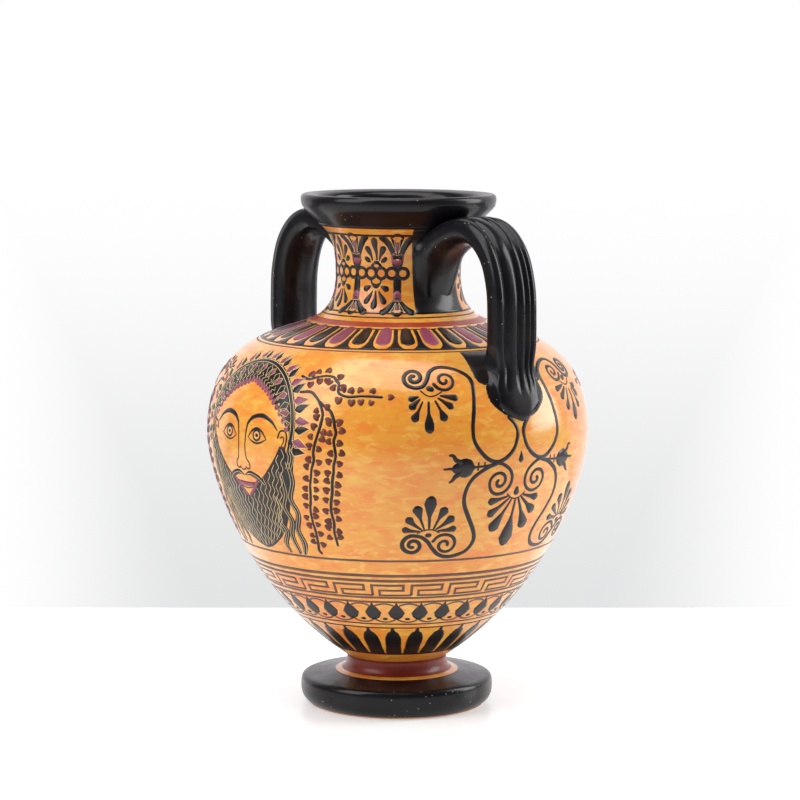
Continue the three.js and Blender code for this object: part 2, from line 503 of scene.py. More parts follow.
def wheelTree(names):
    tree, given, out = openTree("turnOnWheel", "GeometryNodeTree", [
        ("Geometry", "NodeSocketGeometry", None),
        ("Section", "NodeSocketObject", None),
        ("Turns", "NodeSocketInt", 256),
    ], [("Geometry", "NodeSocketGeometry")])
    source = addNode(tree, "GeometryNodeObjectInfo", {"Object": given.outputs["Section"]})
    section = source.outputs["Geometry"]
    rows = addNode(tree, "GeometryNodeAttributeDomainSize", {"Geometry": section}).outputs["Point Count"]
    columns = calc(tree, "ADD", given.outputs["Turns"], 1.0)
    sheet = addNode(tree, "GeometryNodeMeshGrid", {
        "Size X": 1.0, "Size Y": 1.0, "Vertices X": columns, "Vertices Y": rows,
    }).outputs["Mesh"]
    position = addNode(tree, "GeometryNodeInputPosition").outputs[0]
    place = splitVector(tree, position)
    turn = calc(tree, "MULTIPLY", calc(tree, "ADD", place[0], 0.5), 2 * math.pi)
    lastRow = calc(tree, "SUBTRACT", rows, 1.0)
    rowPlace = calc(tree, "MULTIPLY", calc(tree, "ADD", place[1], 0.5), lastRow)
    sample = addNode(tree, "GeometryNodeSampleIndex", {
        "Geometry": section, "Index": calc(tree, "ROUND", rowPlace),
    }, data_type="FLOAT_VECTOR")
    feed(tree, sample.inputs["Value"], position)
    cut = splitVector(tree, sample.outputs[0])
    spun = turned(tree, cut[0], turn, cut[2])
    # the finish of a face is the finish of the stretch that its lower row starts
    mark = addNode(tree, "GeometryNodeInputNamedAttribute", {"Name": "zone"}, data_type="INT")
    zone = addNode(tree, "GeometryNodeSampleIndex", {
        "Geometry": section, "Index": calc(tree, "FLOOR", rowPlace),
    }, data_type="INT")
    feed(tree, zone.inputs["Value"], mark.outputs[0])
    kept = addNode(tree, "GeometryNodeCaptureAttribute", {"Geometry": sheet}, domain="FACE")
    kept.capture_items.new("INT", "zone")
    feed(tree, kept.inputs[1], zone.outputs[0])
    last = kept.outputs[0]
    for kind, values in (
        ("GeometryNodeSetPosition", {"Position": spun}),
        ("GeometryNodeMergeByDistance", {"Distance": 0.002 * mm}),
        ("GeometryNodeSetShadeSmooth", {}),
        ("GeometryNodeRealizeInstances", {}),
    ):
        last = addNode(tree, kind, {"Geometry": last, **values}).outputs[0]
    for number, name in enumerate(names):
        here = addNode(tree, "FunctionNodeCompare", data_type="INT", operation="EQUAL")
        feed(tree, here.inputs[2], kept.outputs[1])
        feed(tree, here.inputs[3], number)
        last = addNode(tree, "GeometryNodeSetMaterial", {
            "Geometry": last, "Selection": here.outputs[0], "Material": finish[name],
        }).outputs[0]
    feed(tree, out.inputs[0], last)
    return tree


def turnWall():
    parts = sectionPieces()
    names = sorted({name for _, name in parts})
    points, zones = [], []
    for line, name in parts:
        for place in line[:-1]:
            points.append(place)
            zones.append(names.index(name))
    points.append(parts[-1][0][-1])
    zones.append(zones[-1])
    mesh = bpy.data.meshes.new("wallSection")
    edges = [(i, i + 1) for i in range(len(points) - 1)]
    mesh.from_pydata([(x * mm, 0, z * mm) for x, z in points], edges, [])
    mesh.attributes.new("zone", "INT", "POINT").data.foreach_set("value", zones)
    section = bpy.data.objects.new("wallSection", mesh)
    scene.collection.objects.link(section)
    start = bpy.data.meshes.new("wheelHead")
    wall = runTree("turnWall", start, wheelTree(names), {"Section": section, "Turns": vaseShape["turns"]})
    bpy.data.objects.remove(section)
    return wall


# the handles

handleShape = {
    "halfWidth": 11.6,
    "halfThickness": 6.2,
    "grooves": [(-7.2, 1.35), (0.2, 0.95), (4.9, 0.85), (8.2, 0.75)],  # place across the face, half-width
    "grooveDepth": 1.35,
    "crown": 0.22,  # how far the face falls off to its edges, in half thicknesses
    "faceShare": 0.985,  # of the width
    "facePoints": 61,
    "backPoints": 34,
    "routeStep": 1.5,
    # middle of the strap from inside the neck to where it hangs straight
    "route": [(20, 210), (35, 218.6), (47, 224.2), (57.5, 225.6), (66.5, 221.8), (74, 213), (78, 200),
              (78.8, 186), (78.8, 178)],
    "neckFrom": 29,  # it widens and thickens where it comes near this radius
    "neckReach": 8,
    "neckWider": 0.16,
    "neckThicker": 0.1,
    # inside this radius the clay under it is smeared down on the neck
    "smearWithin": 62,
    "neckSmear": 20.0,
    "smearFrom": 28.5,
    "smearFade": 3.6,
    "sink": 2.3,  # how deep its neck end goes into the wall
    "endShares": (0.75, 0.5, 0.25, 0.04),  # rings that close the neck end, ever smaller
    # below the route: height, outer face, half-width of the smeared root on the wall
    "root": [(178, 85.0, 11.6), (174, 85.0, 11.7), (170, 85.0, 12.0), (166, 85.0, 12.8), (162, 85.2, 14.5),
             (158, 85.8, 16.6), (154, 86.9, 17.7), (151, 87.7, 16.8), (148, 88.4, 14.0),
             (146, 88.75, 11.2), (144.4, 88.8, 8.2), (143.2, 88.65, 5.2), (142.5, 88.3, 2.6),
             (142.0, 87.8, 0.8)],
    "rootRows": [(176.8, 146, -1.1), (145.6, 143, -0.5), (142.8, 142, -0.2)],  # from, to, step
    "plainBelow": 154,  # the ribs fade out down to here
    "fadeLength": 16,
    "blendFrom": 176.5,  # it turns from a free strap into a root below here
    "blendLength": 19,
}


def ribbedFace(y, half, depth):
    # how far the face lies behind its crown at y
    crown = handleShape["halfThickness"] * handleShape["crown"] * (y / half) ** 4
    across = y * handleShape["halfWidth"] / half
    hollows = [np.exp(-(np.abs(across - at) / width) ** 1.5) for at, width in handleShape["grooves"]]
    return crown + depth * np.max(hollows, axis=0)


def freeSection(half, thick, depth):
    # the strap's section as (out, across): ribbed outer face, then round the back
    y = np.linspace(-1, 1, handleShape["facePoints"]) * half * handleShape["faceShare"]
    face = np.stack([thick - ribbedFace(y, half, depth), y], axis=1)
    a = np.linspace(0, math.pi, handleShape["backPoints"] + 2)[1:-1]
    bulge = 1 + 0.08 * np.abs(np.sin(2 * a))
    back = np.stack([-thick * np.sin(a) * bulge, half * np.cos(a) * bulge], axis=1)
    # the first and last points are eased up towards the face's edge
    back[:, 0] += np.clip(1 - np.minimum(a, math.pi - a) / 0.5, 0, 1) ** 2 * thick * 0.58
    return np.vstack([face, back])


def rootSection(height, outer, half, fade):
    # level section where the strap runs into the wall: its face, then a hollow fillet on either side
    wall = float(radiusAtHeight(height))
    faceHalf = min(handleShape["halfWidth"], half * 0.72) * handleShape["faceShare"]
    y = np.linspace(-1, 1, handleShape["facePoints"]) * faceHalf
    depth = handleShape["grooveDepth"] * fade
    x = outer - ribbedFace(y, faceHalf / handleShape["faceShare"], depth)
    face = np.stack([x, y], axis=1)
    turn = math.asin(min(0.9, half / wall))
    foot = np.array([wall * math.cos(turn) - 0.04, half])
    edge = face[-1]
    proud = max(0.05, edge[0] - foot[0])
    spread = half - faceHalf
    fillet = curvePoints([edge, edge - (0.55 * proud, -0.06 * spread),
                          foot + np.array([math.sin(turn), -math.cos(turn)]) * 0.6 * spread, foot], 12)[1:]
    count = handleShape["backPoints"] - 2 * len(fillet)
    hidden = np.stack([np.full(count, foot[0] - 3.0), np.linspace(0.8, -0.8, count) * half], axis=1)
    return np.vstack([face, fillet, hidden, fillet[::-1] * (1, -1)])


def insideNeck(ring):
    # how far out each point lies when it is just under the neck's surface
    reach = radiusAtHeight(ring[:, 2]) - handleShape["sink"]
    return np.sqrt(reach ** 2 - ring[:, 1] ** 2)


def archRings():
    # from the neck over the top to where the strap hangs straight
    shape = handleShape
    rings = []
    route = through(shape["route"], shape["routeStep"])
    for place, way in zip(route, wayAlong(route)):
        out = np.array([-way[1], way[0]])  # away from the loop
        nearNeck = max(0.0, 1 - max(0.0, place[0] - shape["neckFrom"]) / shape["neckReach"])
        half = shape["halfWidth"] * (1 + shape["neckWider"] * nearNeck ** 2)
        thick = shape["halfThickness"] * (1 + shape["neckThicker"] * nearNeck ** 2)
        section = freeSection(half, thick, shape["grooveDepth"])
        ring = np.array([(place[0] + out[0] * p[0], p[1], place[1] + out[1] * p[0]) for p in section])
        if place[0] < shape["smearWithin"]:
            back = ring[shape["facePoints"]:]
            reach = np.clip(1 - np.abs(back[:, 1] / half) ** 3, 0, 1)
            fade = np.exp(-np.maximum(0, back[:, 0] - shape["smearFrom"]) / shape["smearFade"])
            back[:, 2] -= shape["neckSmear"] * reach * fade
            ring[:, 0] = np.maximum(ring[:, 0], insideNeck(ring))
        rings.append(ring)
    # the neck end is closed along the wall, inside its thickness
    first = rings[0]
    middle = first.mean(axis=0)
    for share in shape["endShares"]:
        ring = middle + (first - middle) * share
        ring[:, 0] = insideNeck(ring)
        rings.insert(0, ring)
    return rings


def rootRings():
    # from there down into the shoulder
    shape = handleShape
    rings = []
    table = np.array(shape["root"])[::-1]
    for height in np.concatenate([np.arange(*rows) for rows in shape["rootRows"]]):
        outer, half = (np.interp(height, table[:, 0], table[:, k]) for k in (1, 2))
        fade = np.clip((height - shape["plainBelow"]) / shape["fadeLength"], 0, 1)
        free = freeSection(shape["halfWidth"], shape["halfThickness"], shape["grooveDepth"] * fade)
        free[:, 0] += outer - shape["halfThickness"]
        share = np.clip((shape["blendFrom"] - height) / shape["blendLength"], 0, 1)
        share = share * share * (3 - 2 * share)
        section = free * (1 - share) + rootSection(height, outer, half, fade) * share
        rings.append([(p[0], p[1], height) for p in section])
    return rings


def addHandles(shell):
    # both straps go into the wall's mesh, all in black slip
    black = [m.name for m in shell.materials].index("blackSlip")
    rings = np.array(archRings() + rootRings())
    rows, count = rings.shape[:2]
    work = bmesh.new()
    work.from_mesh(shell)
    for side in (1, -1):
        spots = rings * (side * mm, side * mm, mm)
        verts = [[work.verts.new(p) for p in ring] for ring in spots]
        faces = []
        for i in range(rows - 1):
            for k in range(count):
                j = (k + 1) % count
                corners = (verts[i][k], verts[i][j], verts[i + 1][j], verts[i + 1][k])
                faces.append(work.faces.new(corners))
        faces.append(work.faces.new(verts[0][::-1]))
        faces.append(work.faces.new(verts[-1]))
        for face in faces:
            face.material_index = black
            face.smooth = True
        bmesh.ops.recalc_face_normals(work, faces=faces)
    work.to_mesh(shell)
    work.free()


def volumeOf(mesh):
    work = bmesh.new()
    work.from_mesh(mesh)
    volume = work.calc_volume(signed=True)
    work.free()
    return volume


def describe(name, mesh):
    print(name, len(mesh.polygons), "faces, volume", round(volumeOf(mesh) / mm ** 3 / 1000, 2), "cm3")


def addPiece(name, mesh):
    piece = bpy.data.objects.new(name, mesh)
    scene.collection.objects.link(piece)
    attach(piece, "root")
    return piece


wallMesh = turnWall()
describe("wall turned:", wallMesh)
if volumeOf(wallMesh) < 0:
    wallMesh.flip_normals()
addHandles(wallMesh)
describe("handles joined:", wallMesh)
vase = addPiece("vase", wallMesh)
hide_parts("amphora")


# laying paint on the wall
# A motif is drawn flat: x is the angle round the vase, y the way up the wall, z is 0 at the
# foot of the paint film and 1 on top of it.

def paintTree():
    tree, given, out = openTree("layPaint", "GeometryNodeTree", [
        ("Geometry", "NodeSocketGeometry", None),
        ("Wall", "NodeSocketObject", None),
        ("Repeats", "NodeSocketInt", 1),
        ("Pitch", "NodeSocketFloat", 0.0),
        ("Start", "NodeSocketFloat", 0.0),
        ("Film", "NodeSocketFloat", 0.08 * mm),
        ("Root", "NodeSocketFloat", 0.05 * mm),
        ("Wobble", "NodeSocketFloat", 0.3 * mm),
        ("Wobble Scale", "NodeSocketFloat", 90.0),
        ("Seed", "NodeSocketFloat", 1.0),
        ("Finish", "NodeSocketMaterial", None),
    ], [("Geometry", "NodeSocketGeometry")])
    wall = addNode(tree, "GeometryNodeObjectInfo", {"Object": given.outputs["Wall"]}).outputs["Geometry"]
    spots = addNode(tree, "GeometryNodeMeshLine", {
        "Count": given.outputs["Repeats"], "Start Location": joinVector(tree, given.outputs["Start"]),
        "Offset": joinVector(tree, given.outputs["Pitch"]),
    }).outputs[0]
    copies = addNode(tree, "GeometryNodeInstanceOnPoints", {
        "Points": spots, "Instance": given.outputs["Geometry"],
    }).outputs[0]
    flat = addNode(tree, "GeometryNodeRealizeInstances", {"Geometry": copies}).outputs[0]
    angle, run, level = splitVector(tree, addNode(tree, "GeometryNodeInputPosition").outputs[0])

    def onWall(run):
        sample = addNode(tree, "GeometryNodeSampleCurve", {"Curves": wall, "Length": run}, mode="LENGTH")
        return splitVector(tree, sample.outputs["Position"]), splitVector(tree, sample.outputs["Tangent"])

    at, way = onWall(run)
    rough = turned(tree, at[0], angle, at[2])
    shake = addNode(tree, "ShaderNodeTexNoise", {
        "Vector": rough, "W": given.outputs["Seed"], "Scale": given.outputs["Wobble Scale"],
        "Detail": 1.0,
    }, noise_dimensions="4D").outputs["Color"]
    shift = splitVector(tree, vectorCalc(tree, "SUBTRACT", shake, (0.5, 0.5, 0.5)))
    sideways = calc(tree, "MULTIPLY", shift[0], given.outputs["Wobble"])
    upwards = calc(tree, "MULTIPLY", shift[1], given.outputs["Wobble"])
    turn = calc(tree, "ADD", angle, calc(tree, "DIVIDE", sideways, at[0]))
    at, way = onWall(calc(tree, "ADD", run, upwards))
    lift = addNode(tree, "ShaderNodeMapRange", {
        "Value": level, "To Min": calc(tree, "MULTIPLY", given.outputs["Root"], -1.0),
        "To Max": given.outputs["Film"],
    }, clamp=False).outputs[0]
    radius = calc(tree, "MULTIPLY_ADD", way[2], lift, at[0])
    height = calc(tree, "SUBTRACT", at[2], calc(tree, "MULTIPLY", way[0], lift))
    moved = addNode(tree, "GeometryNodeSetPosition", {
        "Geometry": flat, "Position": turned(tree, radius, turn, height),
    }).outputs[0]
    real = addNode(tree, "GeometryNodeRealizeInstances", {"Geometry": moved}).outputs[0]
    feed(tree, out.inputs[0], addNode(tree, "GeometryNodeSetMaterial", {
        "Geometry": real, "Material": given.outputs["Finish"],
    }).outputs[0])
    return tree


paintShape = {
    "wallStep": 0.3,
    "root": 0.05,  # how deep a film's foot goes into the wall
    "wobbleScale": 95.0,
    "strokeEnd": [(0.9, 0.3), (0.55, 0.75), (0.2, 0.96)],  # past the end and half-width, in half-widths
    "straightStep": 2.2,
    "filmEdge": 0.16,  # width of a stroke's sloping edge
    "mitre": 1.5,  # how much wider a sharp corner may get
}

# the finish, the height of the film and the slot of each paint
paintSettings = {
    "blackPaint": {"finish": "blackStroke", "film": 0.09, "slot": "black_paint"},
    "brownPaint": {"finish": "brownLine", "film": 0.07, "slot": "brown_line"},
    "redPaint": {"finish": "brickSlip", "film": 0.06, "slot": "red_paint"},
    "mauvePaint": {"finish": "mauveSlip", "film": 0.12, "slot": "purple_paint"},
    "ivyPaint": {"finish": "ivySlip", "film": 0.1, "slot": "red_paint"},
    "creamPaint": {"finish": "creamLine", "film": 0.15, "slot": "cream_line"},
}


def wallCurve():
    line = evenSteps(wallLine, paintShape["wallStep"])
    curve = bpy.data.curves.new("wallLine", "CURVE")
    curve.dimensions = "3D"
    spline = curve.splines.new("POLY")
    spline.points.add(len(line) - 1)
    for spot, (radius, height) in zip(spline.points, line):
        spot.co = (radius * mm, 0, height * mm, 1)
    guide = bpy.data.objects.new("wallLine", curve)
    scene.collection.objects.link(guide)
    return guide


layPaint = paintTree()
wallGuide = wallCurve()
brushRandom = np.random.RandomState(11)


def newMotif():
    return {"points": [], "faces": []}


def addRows(motif, rows, closed=False):
    # rows of points across a stroke, joined into a closed film
    first = len(motif["points"])
    count = len(rows[0])
    for row in rows:
        motif["points"].extend(tuple(map(float, p)) for p in row)
    total = len(rows)
    for i in range(total if closed else total - 1):
        here, there = first + i * count, first + ((i + 1) % total) * count
        for k in range(count):
            j = (k + 1) % count
            motif["faces"].append((here + k, here + j, there + j, there + k))
    if not closed:
        motif["faces"].append(tuple(range(first + count - 1, first - 1, -1)))
        motif["faces"].append(tuple(range(first + (total - 1) * count, first + total * count)))


def brush(motif, line, half, curved=True, roundEnds=True, across=2, step=0.9, uneven=0.08):
    # one stroke along (degrees, way up) points; half is its half-width in mm, one or one a point
    line = np.array(line, float)
    radius = wallRadius(line[:, 1]).mean()
    flat = np.stack([np.radians(line[:, 0]) * radius, line[:, 1]], axis=1)
    half = np.full(len(line), float(half)) if np.isscalar(half) else np.array(half, float)
    marks = runLength(flat)
    if curved and len(line) > 2:
        fine = through(flat, step)
        # the widths follow the nearest given point
        knots = [0.0]
        for p in flat[1:-1]:
            knots.append(float(np.argmin(np.hypot(*(fine - p).T))) / (len(fine) - 1))
        knots.append(1.0)
        wide = np.interp(np.linspace(0, 1, len(fine)), np.maximum.accumulate(knots), half)
    else:
        fine = evenSteps(flat, max(step, paintShape["straightStep"]), marks)
        wide = np.interp(runLength(fine), marks, half)
    drift = np.convolve(brushRandom.normal(0, 1, len(fine) + 8), np.ones(9) / 3, mode="valid")
    wide = wide * (1 + uneven * np.clip(drift, -1.6, 1.6) * 0.6)
    legs = np.diff(fine, axis=0)
    legs /= np.maximum(np.hypot(*legs.T), 1e-9)[:, None]
    way = np.vstack([legs[0], legs[:-1] + legs[1:], legs[-1]])
    size = np.maximum(np.hypot(*way.T), 1e-9)
    way /= size[:, None]
    if not curved:
        wide[1:-1] *= np.minimum(2 / size[1:-1], paintShape["mitre"])
    body = list(zip(fine, way, wide))
    head, tail = [], []
    if roundEnds:
        for out, share in paintShape["strokeEnd"]:
            head.append((fine[0] - way[0] * wide[0] * out, way[0], wide[0] * share))
            tail.insert(0, (fine[-1] + way[-1] * wide[-1] * out, way[-1], wide[-1] * share))
    rows = []
    for place, heading, reach in [*head, *body, *tail]:
        normal = np.array([heading[1], -heading[0]])  # to the right of the stroke
        edge = max(0.35, 1 - paintShape["filmEdge"] / max(reach, 0.05))
        # the stroke keeps its true width where the wall is narrower or wider
        scale = radius / float(wallRadius(place[1]))
        row = []
        for q in (-1, *np.linspace(-edge, edge, across), 1):
            angle = (place[0] + normal[0] * reach * q * scale) / radius
            row.append((angle, (place + normal * reach * q)[1], 0.0 if abs(q) == 1 else 1.0))
        rows.append(row)
    addRows(motif, rows)


def band(motif, low, high, across=2):
    # a ring round the whole vase
    edge = min(0.15, (high - low) * 0.25)
    levels = [low, *np.linspace(low + edge, high - edge, across), high]
    rows = []
    for turn in np.linspace(0, 2 * math.pi, vaseShape["turns"], endpoint=False)[::-1]:
        rows.append([(turn, s, 0.0 if i in (0, len(levels) - 1) else 1.0) for i, s in enumerate(levels)])
    addRows(motif, rows, closed=True)


def blob(motif, outline, at, turn=0.0, size=1.0):
    # a small filled shape; the outline goes round anticlockwise, in mm, about the place "at"
    a, s = at
    local = float(wallRadius(s))
    spots = np.array(outline, float) * size
    c, d = math.cos(turn), math.sin(turn)
    spots = np.stack([spots[:, 0] * c - spots[:, 1] * d, spots[:, 0] * d + spots[:, 1] * c], axis=1)
    middle = spots.mean(axis=0)
    first = len(motif["points"])
    count = len(spots)
    for scale, level in ((1.0, 0.0), (0.86, 1.0)):
        for p in middle + (spots - middle) * scale:
            motif["points"].append((math.radians(a) + p[0] / local, s + p[1], level))
    for k in range(count):
        j = (k + 1) % count
        motif["faces"].append((first + k, first + j, first + count + j, first + count + k))
    motif["faces"].append(tuple(first + count + k for k in range(count)))
    motif["faces"].append(tuple(first + k for k in range(count - 1, -1, -1)))


def spiral(at, outer, inner, start, sweep):
    # points of a volute round (degrees, way up), winding in from its outer end
    a, s = at
    local = float(wallRadius(s))
    points = []
    for t in np.linspace(0, 1, max(8, int(abs(sweep) / 22))):
        reach = outer + (inner - outer) * t
        turn = math.radians(start + sweep * t)
        points.append((a + math.degrees(reach * math.cos(turn) / local), s + reach * math.sin(turn)))
    return points


def meshOf(name, motif):
    mesh = bpy.data.meshes.new(name)
    points = np.array(motif["points"])
    points[:, 1] *= mm
    mesh.from_pydata(points.tolist(), [], motif["faces"])
    level = points[:, 2]
    smooth = [bool(min(level[v] for v in face) > 0.5) for face in motif["faces"]]
    mesh.polygons.foreach_set("use_smooth", smooth)
    return mesh


paints = {}


def lay(paint, motif, repeats=1, pitch=0.0, start=0.0, wobble=0.3, seed=1.0):
    # wraps a motif on the wall and keeps it with the others of its paint
    settings = paintSettings[paint]
    mesh = runTree("laid", meshOf("laid", motif), layPaint, {
        "Wall": wallGuide, "Repeats": repeats, "Pitch": math.radians(pitch), "Start": math.radians(start),
        "Film": settings["film"] * mm, "Root": paintShape["root"] * mm, "Wobble": wobble * mm,
        "Wobble Scale": paintShape["wobbleScale"], "Seed": seed, "Finish": finish[settings["finish"]],
    })
    paints.setdefault(paint, []).append(mesh)


def filledRows(motif, rows, edge, across):
    # a filled area given by its left and right limits in degrees at each way up
    laid = []
    for s, left, right in rows:
        turns = [left, *np.linspace(left + edge, right - edge, across), right]
        laid.append([(math.radians(a), s, 0.0 if a in (left, right) else 1.0) for a in turns])
    addRows(motif, laid)


def mirrored(line, about):
    # about is the mirror line, in degrees
    return [(2 * about - a, s) for a, s in line]


# rings and friezes

friezes = {
    "blackRings": [(203.5, 204.5), (212.8, 213.8), (215.3, 216.4), (252.3, 253.8), (31.6, 32.6),
                   (34.6, 35.6), (7.8, 9.4), (181.8, 183.3)],
    "brownRings": [(179.7, 180.7), (75.0, 76.3), (50.0, 51.4), (52.9, 54.3), (63.2, 64.9),
                   (66.2, 68.0)],
    "redRings": [(206.0, 210.3)],
    "lipEdge": (257.2, 259.0),
    "tongues": 32, "tongueStart": -80.0,
    "keys": 23, "keyStart": -65.0,
    "buds": 33, "budStart": -61.5,
    "rays": 26, "rayStart": -69.5,
}


def layFriezes():
    black, brown, red = newMotif(), newMotif(), newMotif()
    for low, high in friezes["blackRings"]:
        band(black, low, high)
    band(black, *friezes["lipEdge"], across=3)
    for low, high in friezes["brownRings"]:
        band(brown, low, high)
    for low, high in friezes["redRings"]:
        band(red, low, high, across=6)
    lay("blackPaint", black, wobble=0.45, seed=2.0)
    lay("brownPaint", brown, wobble=0.4, seed=3.0)
    lay("redPaint", red, wobble=0.5, seed=4.0)

    # tongues on the shoulder, black and mauve in turn, dark bars between them
    pitch = 360 / friezes["tongues"]
    tongue = [(0, 203.2), (0, 200), (0, 196), (0, 192), (0, 189.4)]
    widths = [2.4, 2.75, 3.2, 3.55, 3.4]
    for paint, offset in (("blackPaint", 0), ("mauvePaint", pitch)):
        motif = newMotif()
        brush(motif, tongue, widths, across=5, step=1.6)
        lay(paint, motif, friezes["tongues"] // 2, 2 * pitch, friezes["tongueStart"] + offset, 0.5, 5.0)
    bar = newMotif()
    brush(bar, [(0, 203.4), (0, 196), (0, 190), (0, 186.5), (0, 184.2), (0, 182.6)],
          [1.0, 1.1, 1.25, 1.9, 3.4, 5.4], across=4, step=1.2, roundEnds=False)
    lay("blackPaint", bar, friezes["tongues"], pitch, friezes["tongueStart"] + pitch / 2, 0.5, 6.0)

    # running key pattern in one line
    pitch = 360 / friezes["keys"]
    key = newMotif()
    corners = [(0, 55.2), (0, 61.4), (12.3, 61.4), (12.3, 58.3), (2.9, 58.3), (2.9, 55.2), (pitch, 55.2)]
    brush(key, corners, 0.7, curved=False, roundEnds=False)
    lay("brownPaint", key, friezes["keys"], pitch, friezes["keyStart"], 0.5, 7.0)

    # buds on looped stems, a dot between each pair
    pitch = 360 / friezes["buds"]
    bud, loop = newMotif(), newMotif()
    brush(bud, [(0, 50.3), (0, 48.4), (0, 46.4), (0, 43.2), (0, 41.6)], [0.3, 0.8, 2.2, 3.7, 3.1], across=7)
    brush(bud, [(pitch / 2 - 0.35, 38.9), (pitch / 2 + 0.35, 38.9)], 0.95)
    brush(loop, spiral((pitch / 2, 43), 6.5, 6.5, -90, 360), 0.58)
    lay("blackPaint", bud, friezes["buds"], pitch, friezes["budStart"], 0.6, 8.0)
    lay("brownPaint", loop, friezes["buds"], pitch, friezes["budStart"], 0.6, 9.0)

    # rays above the foot
    pitch = 360 / friezes["rays"]
    ray = newMotif()
    levels = [31.8, 30, 28, 25, 22, 19, 15, 12, 9.0]
    turns = [0.85, 1.5, 3.2, 5.0, 5.7, 5.85, 5.9, 6.0, 6.1]  # its half-width at each level, in degrees
    widths = [math.radians(a) * float(wallRadius(s)) for a, s in zip(turns, levels)]
    brush(ray, [(0, s) for s in levels], widths, across=6, step=1.2, roundEnds=False)
    lay("blackPaint", ray, friezes["rays"], pitch, friezes["rayStart"], 0.5, 10.0)


layFriezes()
print("friezes laid")


# the neck: palmettes and lotuses on a chain

neckShape = {
    "palmettes": [-138.5, -99.2, -59.9],
    "lotuses": [-118.9, -79.6, -40.3],
    "pitch": 39.3,
    "radius": 29.3,
    # half-width in degrees and way up, of the black field and of the patch on the shoulder
    "panelEdge": [(25.0, 215.4), (26.0, 225), (27.2, 240), (28.6, 254), (29, 259)],
    "panelRows": (215.4, 258.9, 1.45),
    "patchEdge": [(11.5, 159), (13.2, 160.5), (14.1, 163), (14.4, 167), (14.5, 171), (14.6, 175),
                  (15.0, 179.4)],
}


def neckPoint(centre):
    # neck motifs are given in mm beside their middle
    scale = math.degrees(1 / neckShape["radius"])
    return lambda points: [(centre + u * scale, s) for u, s in points]


def petal(motif, at, spots):
    brush(motif, at([(u, s) for u, s, _ in spots]), [h * 1.42 for _, _, h in spots], step=0.7)


def onSide(side, spots):
    # side is 1, or -1 for the mirrored copy
    return [(side * u, *rest) for u, *rest in spots]


